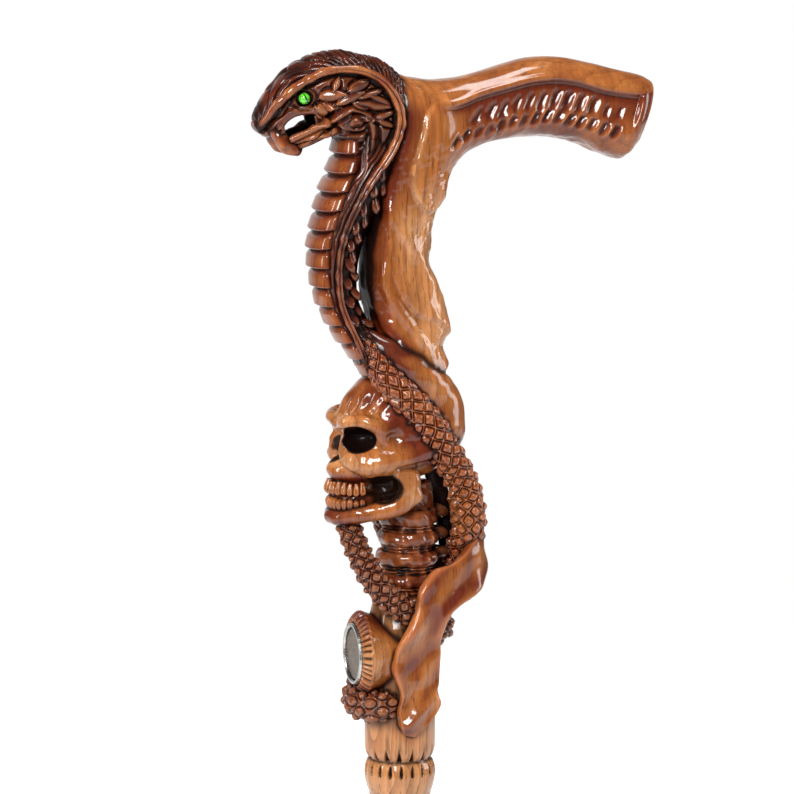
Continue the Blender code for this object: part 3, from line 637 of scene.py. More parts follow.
def grip_relief(x, y, z, normals):
    """The ridge along the palm grip, the sunk panel under it with two rows of gouge cuts, and the cloth."""
    under, layer = off_line(x, z, RIDGE), off_line(x, z, LAYER_EDGE)
    crest = 0.7 * bump(under, -0.8, 1.2) * rise(0, 6, x) * fall(94, 99, x)
    sunk = -2.0 * rise(-0.2, 1.6, under) * fall(7, 18, np.clip(under, 0, None)) * in_panel(x, z)
    height = crest + sunk + gouge_rows(x, z)
    height += step_along(layer, 0.9, (1.3, 8), (0.4, 6)) * fall(892, 900, z) * fall(14, 20, x)
    draped = fall(856, 870, z)
    for line, size, width in FOLDS:
        off, along = from_line(x, z, line)
        ends = rise(0, 8, along) * fall(-8, 0, along - along.max())
        height += draped * ends * size * (bump(off, 0, width) - 0.4 * bump(np.abs(off), 2.4 * width, width))
    for hem, size in ((MIDDLE_HEM, 1.0), (LOWER_HEM, 1.8)):
        height += draped * step_along(off_line(x, z, hem), 1.2, (size, 7), (0.4 * size, 3))
    lower = fall(880, 892, z)
    uneven = (0.05 + 0.16 * lower) * ripple(x, y, z, 9.0, 3) + 0.07 * lower * ripple(x, y, z, 3.5, 4)
    return on_side(normals, 0.12, 0.5) * height + uneven


def make_grip_and_neck():
    even = ribbed_grid(GRIP_RIBS, rings=1400, sides=210, fullness=2.4, dome=1.4)
    closer = 2.1
    place = np.cumsum(np.where(np.arange(len(even)) < 0.4 * len(even), closer, 1.0))
    picked = np.interp(np.linspace(place[0], place[-1], 470), place, np.arange(len(even)))
    grid = even[np.unique(np.round(picked).astype(int))]

    def stain(x, y, z, normals):
        under, layer = off_line(x, z, RIDGE), off_line(x, z, LAYER_EDGE)
        # step is a painted shadow: a darker band just under the overhang of the ridge.
        step = 0.6 * bump(under, 2.0, 2.0) * rise(6, 18, x)
        cuts = 0.45 * rise(0.1, 0.8, -gouge_rows(x, z))
        panel = 0.6 * rise(-0.3, 0.8, under) * (1 - 0.3 * rise(8, 18, under)) * rise(10, 30, x)
        grip = (step + panel + cuts) * on_side(normals, 0.1, 0.4) + 0.24 * rise(14, 26, x)
        front = 0.6 * rise(0.0, 1.6, layer) * rise(850, 862, z) * fall(892, 902, z) * (x < 20)
        front += 0.4 * fall(-13, -4, x) * rise(856, 870, z)
        # inner is partly stain and partly painted shade: the neck's front comes out redder, and most of all
        # its face towards the hood.
        inner = (0.5 + fall(12.0, 14.0, np.abs(y))) * fall(-12, -3, x) * fall(852, 880, z)
        hem = 0.7 * bump(off_line(x, z, LOWER_HEM), -0.5, 2.6)
        edge_light = 1.3 * bump(layer, -0.3, 0.8) * fall(892, 900, z) * rise(852, 860, z)
        lit = (0.75 * rise(-9, 5, x + 0.12 * (z - 835)) - 0.1) * fall(848, 872, z) * fall(16, 26, x)
        uneven = 0.14 * ripple(x, y, z * 0.4, 12.0, 14)
        return np.clip(grip - 0.12 + front + inner + hem - lit - edge_light + uneven, -1, 1)

    def shade(x, y, z, normals):
        # inner is painted shade, nearly black, on the neck's face towards the hood across the gap; step is a
        # painted shadow under the ridge.
        inner = fall(8.4, 11.2, np.abs(y)) * fall(-10, -5, x) * fall(866, 884, z) * rise(806, 815, z)
        step = 0.35 * bump(off_line(x, z, RIDGE), 1.5, 1.0) * rise(14, 26, x) * fall(88, 94, x)
        cuts = 0.32 * rise(0.2, 1.0, -gouge_rows(x, z))
        return np.maximum(0.985 * inner, np.maximum(step, cuts) * on_side(normals, 0.1, 0.4))

    def depth(x, y, z, normals):
        under = off_line(x, z, RIDGE)
        return np.where((x > 14) & (under > 0.5), np.where(under > 11.5, 0.5, 0.8), 2.4)

    carve("grip_and_neck", raised(grid_mesh(grid), grip_relief), stain, shade, depth, reach=12)


# The cobra's head, hood and belly

HEAD_RIBS = [
    (4, 904, 3, 864, 12), (-4.5, 914.5, -9, 872, 17), (-16.8, 917.9, -20.6, 883, 17.6),
    (-26.7, HEAD_TOP_Z, -29.6, 887.6, 16.6), (-36.9, 917.8, -36.1, 895, 14.4),
    (-45.4, 913.6, -43.4, 895, 12), (-51.5, 907.9, -49.4, 888.2, 9.8), (-56.8, 901.7, -54.6, 885.4, 7.8),
    (-60.2, 894.4, -58.6, 887.6, 4.4),
]
JAW_RIBS = [
    (-22, 899, -22, 884, 13), (-30, 893, -27.6, 886.4, 11.4), (-36, 888.4, -33.2, 884, 9.2),
    (-40.6, 886.8, -38.2, 881.6, 7.4), (-45, 884.8, -43.2, 880, 5.4),
]
HOOD_RIBS = [
    (-27.2, 886, -2, 888, 14), (-28.8, 875.2, -1, 876, 16.5), (-33.4, 863.1, -5, 865, 17),
    (-36.7, 849.7, -11.6, 853, 15.8), (-38, 841.4, -15.7, 844, 14.6), (-37.4, 831.9, -18.2, 833, 13.2),
    (-34.7, 819.8, -18, 821, 12.2), (-29, 806.9, -13.5, 811, 11.2), (-22.8, 798.2, -8.6, 804, 10.4),
    (-17.5, 790, -2, 797, 9),
]
BELLY_PLATES = 13
RIM_PATH = [
    (-59, -3, 889.6, 1.2), (-57.2, -5.4, 891.8, 1.7), (-55.2, -7.6, 895.4, 1.8), (-52.4, -9.6, 899.4, 1.7),
    (-46.2, -12, 905.4, 1.7), (-38, -14.5, 910.4, 1.6), (-31.5, -16, 912.4, 1.6), (-25, -16.8, 912.6, 1.6),
    (-18.4, -17.3, 911.2, 1.6), (-12, -17.8, 907.4, 1.7), (-7.6, -18, 901.8, 1.8), (-5.2, -18, 895.4, 1.8),
    (-5.2, -18, 889.4, 1.8), (-8.8, -17.8, 880.1, 1.7), (-19.1, -16.8, 864.9, 1.6),
    (-26.5, -14.8, 848.8, 1.5), (-28.8, -13.3, 834.9, 1.4), (-27.4, -12.2, 819.3, 1.3),
    (-21.2, -10.9, 803.8, 1.2), (-17, -9.6, 793.4, 0.9),
]
RIM = side_line([(x, z) for x, _, z, _ in RIM_PATH], 120)
CREST_BACK = side_line([
    (-12.5, 919), (-8.4, 915.6), (-4, 912), (0, 905.6), (2.6, 899.1), (1.4, 893), (-0.6, 887.8),
    (-3.6, 880.6), (-6.4, 873.6), (-9.6, 868.6), (-12.6, 863.4), (-18.6, 855),
])
PLATE_EDGE = side_line([
    (-17.4, 886), (-18.5, 878.5), (-19.4, 872), (-24.4, 866.4), (-28, 858.5), (-31, 850), (-32, 843),
    (-32.2, 833), (-31.2, 822), (-28, 813), (-24, 805), (-20, 795), (-17, 788),
])
LEAVES = [
    ((-37, 902.2), (-26.6, 902.8), 3.2), ((-30.4, 899.2), (-19.6, 903.8), 2.7),
    ((-31.6, 904.2), (-29.4, 909.6), 1.9), ((-26.2, 903.9), (-16.6, 908.6), 2.9),
    ((-21.9, 901.2), (-11, 904.6), 1.9), ((-24.4, 899.2), (-6.8, 897.4), 2.6),
    ((-18.4, 902.4), (-7.4, 897.8), 1.7), ((-16.8, 892.6), (-6.8, 896.2), 2),
    ((-15.6, 893), (-6.6, 889.4), 1.7), ((-37.6, 896.8), (-30.6, 897.6), 3.4),
    ((-24.6, 891.4), (-17.6, 893.4), 2.8), ((-54.2, 893.6), (-48.6, 899), 1.9),
    ((-49.6, 898.4), (-46.4, 902.4), 1.2), ((-45.6, 905), (-36, 908.8), 1.4),
]
JAW_RIDGES = [side_line(points) for points in (
    [(-46.5, 885), (-41, 888.2), (-35.3, 890.4), (-30.9, 892.6), (-26, 896.1), (-23.6, 897), (-19.9, 895.8),
     (-17.4, 893.2), (-15.8, 889.6), (-15.2, 885.7), (-15.8, 880.6), (-17.9, 876.5)],
    [(-43.4, 881.6), (-37.3, 885.4), (-31.7, 887), (-28, 887.6)],
)]
THROAT_CUTS = [side_line(points) for points in (
    [(-30, 890.4), (-26.4, 888), (-21.6, 887.4), (-17.2, 888.6)],
    [(-31, 885.4), (-27.4, 883), (-22.4, 882.2), (-17.4, 884)],
    [(-31, 880.4), (-27.4, 878.2), (-22.4, 877.8), (-18.2, 880.2)],
)]
LIP_BEAD = side_line([
    (-54.6, 889.6), (-52.8, 891.8), (-50.4, 894.1), (-45.9, 896.8), (-41, 898), (-36.6, 897.4),
    (-33.6, 894), (-33.9, 889.6),
])
LIP_LINE = side_line([(-61.5, 890.4), (-59.9, 889.4), (-57.2, 888.2), (-52.8, 887.6), (-51, 888.6)])


def behind_crest(x, z):
    """1 past the back edge of the cobra's head, where the palm grip begins."""
    return rise(-0.5, 0.5, -off_line(x, z, CREST_BACK))


def sway(mesh):
    """Brings the hood's lower end round to the near side, where it turns into the snake's body."""
    points, faces = mesh
    points = points.copy()
    points[:, 1] -= 7.0 * fall(790, 824, points[:, 2])
    return points, faces


def leaf(x, z, root, tip, width):
    """Positive inside a pointed leaf on the side, 1 along its middle, falling to 0 at its edge."""
    length = math.hypot(tip[0] - root[0], tip[1] - root[1])
    ux, uz = (tip[0] - root[0]) / length, (tip[1] - root[1]) / length
    a = ((x - root[0]) * ux + (z - root[1]) * uz) / length
    b = (x - root[0]) * uz - (z - root[1]) * ux
    inside = np.clip(a, 0.0, 1.0)
    half = width * np.maximum(1.9 * np.sqrt(inside) * (1 - inside) ** 0.75, 0.04)
    return 1 - np.abs(b) / half - np.maximum(0, np.abs(a - 0.5) - 0.5) * length / width


def from_eye(x, z):
    return np.hypot((x - EYE_CENTRE[0]) * 0.92, z - EYE_CENTRE[2])


def face_relief(x, z):
    """Everything cut into the cobra's cheek, inside the rim."""
    best = np.max([leaf(x, z, *shape) for shape in LEAVES], axis=0)
    height = 1.8 * np.sqrt(np.clip(best, 0, 1)) - 1.2 * bump(best, -0.18, 0.3)
    for line in JAW_RIDGES:
        off, along = from_line(x, z, line)
        ends = fall(-6, 0, along - along.max())
        height += ends * (1.5 * bump(off, 0, 1.0) - 1.0 * bump(np.abs(off), 2.2, 0.7))
    for line in THROAT_CUTS:
        off, along = from_line(x, z, line)
        ends = rise(-1.0, 0.5, along) * fall(-2.0, 0.0, along - along.max())
        cut = 0.7 * bump(np.abs(off), 1.6, 1.0) - 1.5 * bump(off, 0, 0.5)
        height += ends * cut * (x > -31) * (x < -16.5)
    bead, lip = off_line(x, z, LIP_BEAD), off_line(x, z, LIP_LINE)
    height += 0.8 * bump(bead, 0, 0.7) - 0.7 * bump(bead, -1.7, 0.6) - bump(lip, 0, 0.5)
    eye = from_eye(x, z)
    lids = 0.45 * bump(eye, 3.5, 0.4) - 0.5 * bump(eye, 4.5, 0.5) - 1.3 * bump(eye, 2.5, 0.5)
    return height * rise(4.2, 5.4, eye) + lids - 1.3 * bump(off_line(x, z, RIM), 2.4, 0.8)


def cobra_face_relief(x, y, z, normals):
    """The leaves, the lids and the lips inside the rim. Outside it the skin sinks under the crest's."""
    off = off_line(x, z, RIM)
    shown = on_side(normals, 0.1, 0.45) * rise(0.4, 1.8, off) * rise(872, 882, z)
    crest = rise(0.0, 1.2, -off) * rise(-59.0, -57.0, x)
    return shown * face_relief(x, z) - 1.6 * crest - 3.0 * behind_crest(x, z)


def crest_relief(x, y, z, normals):
    """Long chisel strokes that run back over the head to the rim, like a feather at the front."""
    off, along = from_line(x, z, RIM)
    places = np.linspace(0, 220, 441)
    slope = np.interp(places, [0, 12, 36, 62, 220], [-0.55, -0.45, 0.7, 1.1, 1.6])
    drift = np.interp(along, places, np.cumsum(slope) * 0.5)
    strand = from_middle((drift - off + 0.3 * ripple(x, y, z, 14.0, 8)) / 2.2)
    stroke = 0.45 * (1 - strand**2) - 0.9 * bump(strand, 1.0, 0.28)
    shown = rise(0.4, 1.4, -off)
    strength = np.clip(0.9 + 0.45 * ripple(x, y, z, 6.0, 9), 0.3, 1.3)
    strength *= (0.35 + 0.65 * rise(-57.5, -52.0, x)) * (1 - rise(-16, -10, x) * fall(884, 894, z))
    sunk = 1.8 * rise(0.2, 1.4, off) + 4.0 * behind_crest(x, z) + 0.8
    return shown * strength * stroke + 0.3 * shown - sunk


def hood_relief(x, y, z, normals):
    """Fine lines down the channel between the rim and the plates, whose own skin lies over this one."""
    off, plate_off = off_line(x, z, RIM), off_line(x, z, PLATE_EDGE)
    channel = rise(0.0, 1.4, -plate_off) * rise(0.4, 1.6, off)
    strand = from_middle(off / 1.7 + 0.15 * ripple(x, y, z, 10.0, 15))
    lines = 0.4 * (1 - strand**2) - 0.5 * bump(strand, 1.0, 0.25)
    sunk = 1.1 * rise(-0.6, 0.8, plate_off) + 1.8 * rise(1.2, 4.0, plate_off)
    back = 1.6 * rise(0.8, 2.4, -off) * fall(872, 882, z)
    cut = on_side(normals, 0.1, 0.45) * (channel * (lines - 0.7) - back)
    return cut - sunk - 3.0 * behind_crest(x, z) * (z > 874)


def place_scales(hood, picker):
    """Leaf scales in staggered lanes on the hood's side, from the rim to its back edge."""
    tree = BVHTree.FromPolygons(hood[0].tolist(), hood[1].tolist())
    scales = []
    fine = side_line([(x, z) for x, _, z, _ in RIM_PATH], 900)
    fine = fine[(fine[:, 1] < 882) & (fine[:, 1] > 796) & (fine[:, 0] < -3)]
    step = 40
    for lane, lane_off in enumerate((2.6, 5.8)):
        for k in range(lane * step // 2, len(fine) - 8, step):
            wx, wz = unit(fine[min(k + 6, len(fine) - 1)] - fine[max(k - 6, 0)])
            way, away = np.array([wx, 0, wz]), np.array([-wz, 0, wx])
            spot = np.insert(fine[k], 1, 0) + away * (lane_off + picker.uniform(-0.6, 0.6))
            root, normal, _, _ = tree.ray_cast((spot[0], -60, spot[2]), (0, 1, 0))
            if root is None or normal[1] > -0.12:
                continue
            root, normal = np.array(root), np.array(normal)
            tip = root + (way + away * picker.uniform(0.0, 0.7)) * picker.uniform(5.0, 6.6) + normal * 0.3
            width, thick = picker.uniform(4.0, 5.6), picker.uniform(1.4, 2.2)
            scales.append(scale_leaf(root - normal * 0.7, tip, normal, width, thick))
    return joined(scales)


def belly_grid():
    """The row of belly plates: each swells towards its lower edge and has a deep groove under it. Returns
    the skin, its reddish stain, and the dark stain brushed along the grooves and beside the channel."""
    rows = [(x, z, x + (u - x) * 0.42, z + (v - z) * 0.42, width * 0.86) for x, z, u, v, width in HOOD_RIBS]
    rings, sides, crowd = 640, 150, 0.25
    grid = ribbed_grid(rows, rings, sides, fullness=2.1, crowd=crowd)
    part = np.linspace(0, BELLY_PLATES, rings) % 1
    facing = np.cos(circle(sides, crowd))
    plate = np.sin(math.pi / 2 * np.clip(part / 0.34, 0, 1)) ** 0.8
    plate *= 1 - np.clip((part - 0.84) / 0.16, 0, 1) ** 2
    height = np.outer(3.0 * plate * (0.66 + 0.34 * part) - 2.7, np.clip((facing + 0.5) / 0.5, 0, 1) ** 0.7)
    height += np.outer(plate, 0.35 * bump(facing, -0.1, 0.2))
    edges = np.clip(bump(part, 0.0, 0.13) + bump(part, 1.0, 0.09), 0, 1)
    shade = np.maximum.outer(0.9 * edges, 0.6 * bump(facing, -0.25, 0.22))
    redder = np.maximum(bump(part, 0.0, 0.3), bump(part, 1.0, 0.24))
    stain = np.maximum.outer(0.52 + 0.48 * redder, 0.52 + 0.48 * bump(facing, -0.3, 0.45))
    height, stain, shade = (np.append(v, [end, end]) for v, end in ((height, 0), (stain, 1), (shade, 0)))
    return raised(grid_mesh(grid), lambda x, y, z, normals: height), stain, shade


def scale_leaf(root, tip, out, width, thick):
    """A small pointed scale from root to tip, standing out along out."""
    length = np.linalg.norm(tip - root)
    way = (tip - root) / length
    out = unit(out - way * (out @ way))
    across = np.cross(way, out)
    angle = circle(16)
    level = np.where(np.sin(angle) > 0, 1.0, -0.6) * np.abs(np.sin(angle)) ** 0.8
    grid = []
    for t in np.linspace(0.0, 1.0, 18):
        half = width / 2 * max(1.7 * math.sqrt(t) * (1 - t) ** 0.6, 0.02)
        lift = thick * (0.35 + 0.65 * t) * min(1, 3.5 * (1 - t) + 0.1)
        ring = np.outer(half * np.cos(angle), across) + np.outer(lift * level, out)
        grid.append(root + way * length * t + ring)
    return grid_mesh(np.array(grid))


def fused(parts, voxel):
    """One skin around several overlapping forms."""
    shape = mesh_object("forms", *joined(parts), wood)
    fuse = shape.modifiers.new("fuse", "REMESH")
    fuse.mode = "VOXEL"
    fuse.voxel_size = voxel * MM
    soften = shape.modifiers.new("soften", "SMOOTH")
    soften.factor = 0.5
    soften.iterations = 6
    graph = bpy.context.evaluated_depsgraph_get()
    mesh = bpy.data.meshes.new_from_object(shape.evaluated_get(graph))
    bpy.data.objects.remove(shape, do_unlink=True)
    mesh.calc_loop_triangles()
    skin = read(mesh.vertices, "co", 3, float) / MM, read(mesh.loop_triangles, "vertices", 3, np.int32)
    bpy.data.meshes.remove(mesh)
    return skin


def make_cobra():
    """The face, the crest, the hood and the belly plates. The skins lie over each other like the
    carver's layers, and each sinks where the next one shows."""
    lip = [
        (-50.2, -7.2, 887.4, 1.5), (-51, -7.6, 890.4, 1.6), (-49.4, -8.2, 893, 1.6),
        (-45.9, -8.8, 895.4, 1.7), (-41.6, -9.4, 896.4, 1.8), (-37.4, -10.2, 896.4, 1.9),
        (-34.6, -10.4, 893.4, 1.9), (-35.2, -10, 889.8, 1.8), (-38.6, -9.2, 887.2, 1.7),
        (-43.4, -7.8, 885.2, 1.6), (-46.6, -6.8, 884, 1.4),
    ]
    nose = [
        (-52, 897, -52, 886.8, 7), (-56, 894.6, -55.2, 886.4, 6.4), (-59, 893, -58.2, 887.2, 5.2),
        (-60.6, 891.8, -59.8, 888.6, 3.2),
    ]
    corner = [(-34.6, 8.6, 894.6, 3), (-33.8, 8.4, 891, 3), (-34.4, 8, 888.4, 2.6)]
    throat = [(-26, 897, -2, 897, 13.6), HOOD_RIBS[0], (-24, 875, -2, 876, 14.5)]
    parts = [
        grid_mesh(ribbed_grid(HEAD_RIBS, rings=60, sides=48, fullness=2.2)),
        grid_mesh(ribbed_grid(JAW_RIBS, rings=30, sides=32, fullness=2.2)),
        grid_mesh(ribbed_grid(nose, rings=24, sides=28, fullness=2.2)),
        tube_pair(lip, 60, 20),
        tube_pair(corner, 16, 18),
        grid_mesh(ribbed_grid(throat, rings=30, sides=48, fullness=2.1)),
    ]

    def face_stain_and_light(x, y, z, normals):
        nose_tip = 0.4 * fall(-58.0, -54.0, x)
        jaw = 0.15 * bump(x, -40.0, 8.0) * fall(885.5, 889.5, z)
        # lit is a painted pool of light: a round paler patch on the cheek.
        lit = 0.25 * bump(np.hypot(x + 33.0, z - 898.0), 0, 6.0)
        return np.clip(1.0 - nose_tip - jaw - lit + 0.1 * ripple(x, y, z, 7.0, 81), 0, 1)

    def face_shade(x, y, z, normals):
        # mouth is painted shade inside the mouth; around_eye is painted shade in a ring round the eye and
        # along the groove under the rim.
        mouth = fall(6.4, 8.6, np.abs(y)) * rise(-54, -50, x) * fall(-32, -28, x)
        eye = bump(from_eye(x, z), 2.7, 0.9)
        under_rim = 0.9 * bump(off_line(x, z, RIM), 2.4, 1.1)
        back = 0.25 * rise(-30, -20, x)
        around_eye = on_side(normals, 0.2, 0.5) * (0.95 * eye + under_rim)
        dark = 0.8 * mouth * (z < 897) * (z > 884) + around_eye + back
        return np.clip(dark + 0.32, 0, 0.96)

    face = raised(fused(parts, voxel=0.385), cobra_face_relief)
    carve("cobra_face", face, face_stain_and_light, face_shade, depth=0.28, reach=10)

    def crest_shade(x, y, z, normals):
        front = 0.3 * fall(-57, -50, x)
        below_head = 0.4 * rise(-16, -8, x) * fall(884, 898, z)
        return np.clip(0.62 + 0.2 * ripple(x, y, z, 8.0, 83) - front - below_head, 0.1, 0.85)

    def crest_stain(x, y, z, normals):
        return 0.95 - 0.35 * rise(-10, 2, x) * fall(884, 898, z)

    crest = grid_mesh(ribbed_grid(HEAD_RIBS, rings=300, sides=320, fullness=2.2, crowd=0.55))
    carve("cobra_crest", raised(crest, crest_relief), crest_stain, crest_shade, depth=0.32, reach=8)

    def hood_shade(x, y, z, normals):
        # back is painted shade on the skin that faces back towards the neck across the gap.
        back = 0.85 * rise(0.3, 0.8, normals[:, 0]) * fall(868, 880, z)
        behind = 0.5 * rise(0.5, 2.0, -off_line(x, z, RIM))
        return np.clip(0.45 + back + behind, 0, 0.97)

    hood = raised(grid_mesh(ribbed_grid(HOOD_RIBS, rings=420, sides=220, fullness=2.1)), hood_relief)
    carve("cobra_hood", sway(hood), 0.95, hood_shade, depth=0.4, reach=8)
    scales = both_sides(place_scales(hood, np.random.default_rng(17)))
    carve("hood_back_scales", sway(scales), stain=0.95, shade=0.35, depth=0.35, reach=3)
    plates, plate_stain, plate_shade = belly_grid()
    carve("belly_plates", sway(plates), plate_stain, 0.85 * plate_shade, depth=0.8, reach=8)


def make_cobra_trim():
    """The ridge of the rim with its groove, and the fangs."""
    def groove(x, y, z, normals):
        off, along = from_line(x, z, RIM)
        cut = -0.7 * bump(off, 0.1, 0.36) * rise(0.2, 0.7, -normals[:, 1]) * rise(24, 50, along)
        return cut + 0.16 * ripple(x, y, z, 5.0, 84)

    def stain(x, y, z, normals):
        return np.clip(0.25 + 0.35 * ripple(x, y, z, 7.0, 85), 0, 1)

    rim = raised(grid_mesh(tube_grid(RIM_PATH, 560, 30)), groove)
    carve("hood_rims", sway(both_sides(rim)), stain, depth=0.3, reach=6)
    fang = [
        (-53.4, -4.8, 890, 2.2), (-51.2, -5.6, 886.4, 2.7), (-49.4, -6, 883.4, 2.7),
        (-46.9, -6.2, 881.2, 2.4), (-44.2, -6, 880.2, 1.9), (-42.6, -5.8, 881, 1.2),
        (-42.2, -5.6, 882.4, 0.5),
    ]
    ridge = raised(grid_mesh(tube_grid(fang, 70, 30)), lambda x, y, z, normals: 0.22 * ripple(x, y, z, 4, 2))
    carve("fangs", both_sides(ridge), stain=0.45, shade=0.05, depth=0.4, reach=6)


def make_eyes():
    glass = make_glass_eye("eye_glass")
    x, y, z = EYE_CENTRE
    turn, tilt = np.meshgrid(circle(48), np.linspace(0.05, math.pi - 0.05, 32))
    for name, sign in (("eye_left", -1), ("eye_right", 1)):
        ball = np.stack([np.sin(tilt) * np.cos(turn), np.cos(tilt), np.sin(tilt) * np.sin(turn)], -1)
        points, faces = grid_mesh(np.array([x, sign * y, z]) + EYE_RADIUS * ball)
        piece = mesh_object("cobra_" + name, points, faces, glass)
        across, up = points[:, 0] - x, points[:, 2] - z
        set_values(piece, "slit", fall(0.26, 0.5, np.abs(across + 0.5 * up - 0.2) + 0.08 * np.abs(up)))
        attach(piece, "handle")
        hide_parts(name)


# The skull and the smooth fold behind it, as a field of distances

SOCKET = ((-22.6, 14.4, 766.2), (9.6, 7.4, 5.0), -34)
NOSE_HOLE = ((-28.6, 0.0, 761.2), (6.4, 5.0, 5.6), 0)
MOUTH_HOLLOW = ((-11.4, 14.8, 746.0), (7.4, 8.4, 5.6), 0)


class Field:
    """Distances, in millimetres, to a form that is the same on both sides. Forms are added and cut with a
    soft edge."""

    def __init__(self, low, high, cell):
        axes = [np.arange(a, b, cell, dtype=np.float32) for a, b in zip(low, high)]
        self.cell, self.low = cell, np.array(low)
        self.x, self.y, self.z = np.meshgrid(*axes, indexing="ij")
        self.value = np.full(self.x.shape, 50.0, np.float32)

    def egg(self, centre, radii, turn=0.0):
        return egg_distance(self.x, self.y, self.z, centre, radii, turn)

    def tube(self, path, count=14):
        best = np.full(self.x.shape, 50.0, np.float32)
        rows = curve_through(path, count).astype(np.float32)
        for a, b in zip(rows, rows[1:]):
            way = b[:3] - a[:3]
            dx, dy, dz = self.x - a[0], self.y - a[1], self.z - a[2]
            t = np.clip((dx * way[0] + dy * way[1] + dz * way[2]) / (way @ way), 0, 1)
            distance = np.sqrt((dx - t * way[0]) ** 2 + (dy - t * way[1]) ** 2 + (dz - t * way[2]) ** 2)
            best = np.minimum(best, distance - (a[3] + t * (b[3] - a[3])))
        return best

    def add(self, form, soft=2.0):
        h = np.clip(0.5 + 0.5 * (self.value - form) / soft, 0, 1)
        self.value = self.value + (form - self.value) * h - soft * h * (1 - h)

    def cut(self, form, soft=1.0):
        h = np.clip(0.5 - 0.5 * (self.value + form) / soft, 0, 1)
        self.value = self.value + (-form - self.value) * h + soft * h * (1 - h)

    def skin(self):
        """The surface where the distance is 0, on both sides, as points and triangles: a point in each cell
        that it passes through, and two triangles around each of the cells' edges that it crosses."""
        full = np.concatenate([self.value[:, :0:-1], self.value], axis=1)
        low = self.low - [0, self.cell * (self.value.shape[1] - 1), 0]
        inside = full < 0
        size = np.array(full.shape) - 1

        def part(grid, start, length):
            return grid[tuple(slice(s, s + n) for s, n in zip(start, length))]

        corners = list(np.ndindex(2, 2, 2))
        crossed = np.zeros(size, bool)
        for corner in corners:
            crossed |= part(inside, corner, size) != part(inside, corners[0], size)
        total, count = np.zeros((*size, 3), np.float32), np.zeros(size, np.float32)
        for a, axis in itertools.product(corners, range(3)):
            if a[axis]:
                continue
            va, vb = part(full, a, size), part(full, np.add(a, np.eye(3, dtype=int)[axis]), size)
            change = (va < 0) != (vb < 0)
            t = np.where(change, va / np.where(change, va - vb, 1), 0)
            for n in range(3):
                total[..., n] += np.where(change, a[n] + (t if n == axis else 0), 0)
            count += change
        number = np.full(size, -1, np.int64)
        number[crossed] = np.arange(crossed.sum())
        points = low + (np.argwhere(crossed) + total[crossed] / count[crossed][:, None]) * self.cell
        faces = []
        here = part(inside, (1, 1, 1), size - 1)
        for axis, starts_inside in itertools.product(range(3), (True, False)):
            there = part(inside, 1 + np.eye(3, dtype=int)[axis], size - 1)
            found = np.argwhere((here != there) & (here == starts_inside)) + 1
            around = [found - np.insert(back, axis, 0) for back in ((0, 0), (1, 0), (1, 1), (0, 1))]
            quad = np.stack([number[tuple(cell.T)] for cell in around], -1)
            quad = quad[(quad >= 0).all(1)]
            if starts_inside == (axis == 1):
                quad = quad[:, ::-1]
            faces += [quad[:, [0, 1, 2]], quad[:, [0, 2, 3]]]
        return points.astype(float), np.concatenate(faces)


def skull_field():
    field = Field((-36.0, 0.0, 728.0), (30.0, 23.0, 802.0), SKULL_CELL)
    field.add(field.egg((0.2, 0.0, 770.0), (26.4, 20.4, 22.6)))
    field.add(field.egg((-11.0, 9.0, 765.0), (16.4, 9.0, 11.0), 12), 3.0)
    field.add(field.egg((-20.6, 0.0, 764.0), (5.0, 7.0, 9.0)), 3.0)
    field.add(field.egg((-6.0, 0.0, 748.0), (12.4, 9.0, 10.0)), 3.0)
    brow = [
        (-24.8, 2.6, 771.2, 2.2), (-26, 6.6, 772.2, 2.4), (-24.6, 11.4, 772.8, 2.7),
        (-19.8, 15, 773.4, 2.8), (-14, 17.2, 771.4, 2.6), (-9.6, 18, 766.8, 2.4),
    ]
    field.add(field.tube(brow), 2.0)
    cheek = [
        (-24.6, 8.4, 758.6, 3), (-22, 11.8, 757, 4.6), (-16, 14.4, 756.6, 6.2), (-8, 16.4, 758, 5.6),
        (2, 17.2, 760.6, 4.6), (8, 16.8, 762, 3.8),
    ]
    field.add(field.tube(cheek), 2.0)
    field.add(field.egg((-2.4, 15.0, 747.4), (6.4, 3.6, 10.6), 6), 1.2)
    jaw = [
        (1.4, 14.6, 742.6, 3.8), (-6, 13.8, 738.4, 4), (-14, 12.4, 736.2, 3.6), (-21.4, 9.6, 734.8, 3.2),
        (-26.6, 5.4, 734, 3.2), (-28.4, 0, 733.8, 3.2),
    ]
    field.add(field.tube(jaw, 18), 1.4)
    field.add(field.egg((-18.0, 0.0, 752.6), (12.2, 10.6, 6.6)), 1.4)
    field.add(field.egg((-17.6, 0.0, 740.6), (10.6, 9.4, 5.6)), 1.0)
    field.cut(field.egg((-29.4, 0.0, 766.8), (4.6, 12.0, 2.2)), 1.6)
    nostril = [
        (-24, 7, 767, 1.2), (-25.8, 6.6, 763.6, 1.5), (-26.2, 6.6, 760.6, 1.7), (-25.2, 7.6, 756.8, 2),
    ]
    field.add(field.tube(nostril), 1.2)
    for hole in (SOCKET, NOSE_HOLE, MOUTH_HOLLOW):
        field.cut(field.egg(*hole), 0.8)
    field.cut(field.egg((-13.4, 21.6, 778.2), (6.0, 4.6, 5.6), 20), 2.4)
    field.cut(field.egg((-8.4, 21.0, 767.0), (3.6, 2.8, 2.6), 0), 1.6)
    field.cut(field.egg((4.0, 20.0, 754.2), (12.0, 4.4, 2.2), 0), 1.2)
    frowns = [
        [(-23.6, 7, 776, 1.6), (-21.6, 8.6, 780, 2.2), (-19.4, 8.6, 786, 1.4)],
        [(-20.6, 11.6, 777, 1.8), (-17.6, 12.6, 781, 2.4), (-14.6, 12, 787, 1.4)],
        [(-25.6, 2.8, 776, 1.2), (-24.6, 3.4, 780, 1.5), (-22.4, 3.4, 786, 1)],
        [(-16.4, 15.2, 776.8, 1.6), (-12.4, 16.4, 781.4, 2)],
    ]
    for frown in frowns:
        field.cut(field.tube(frown, 8), 1.8)
    return field


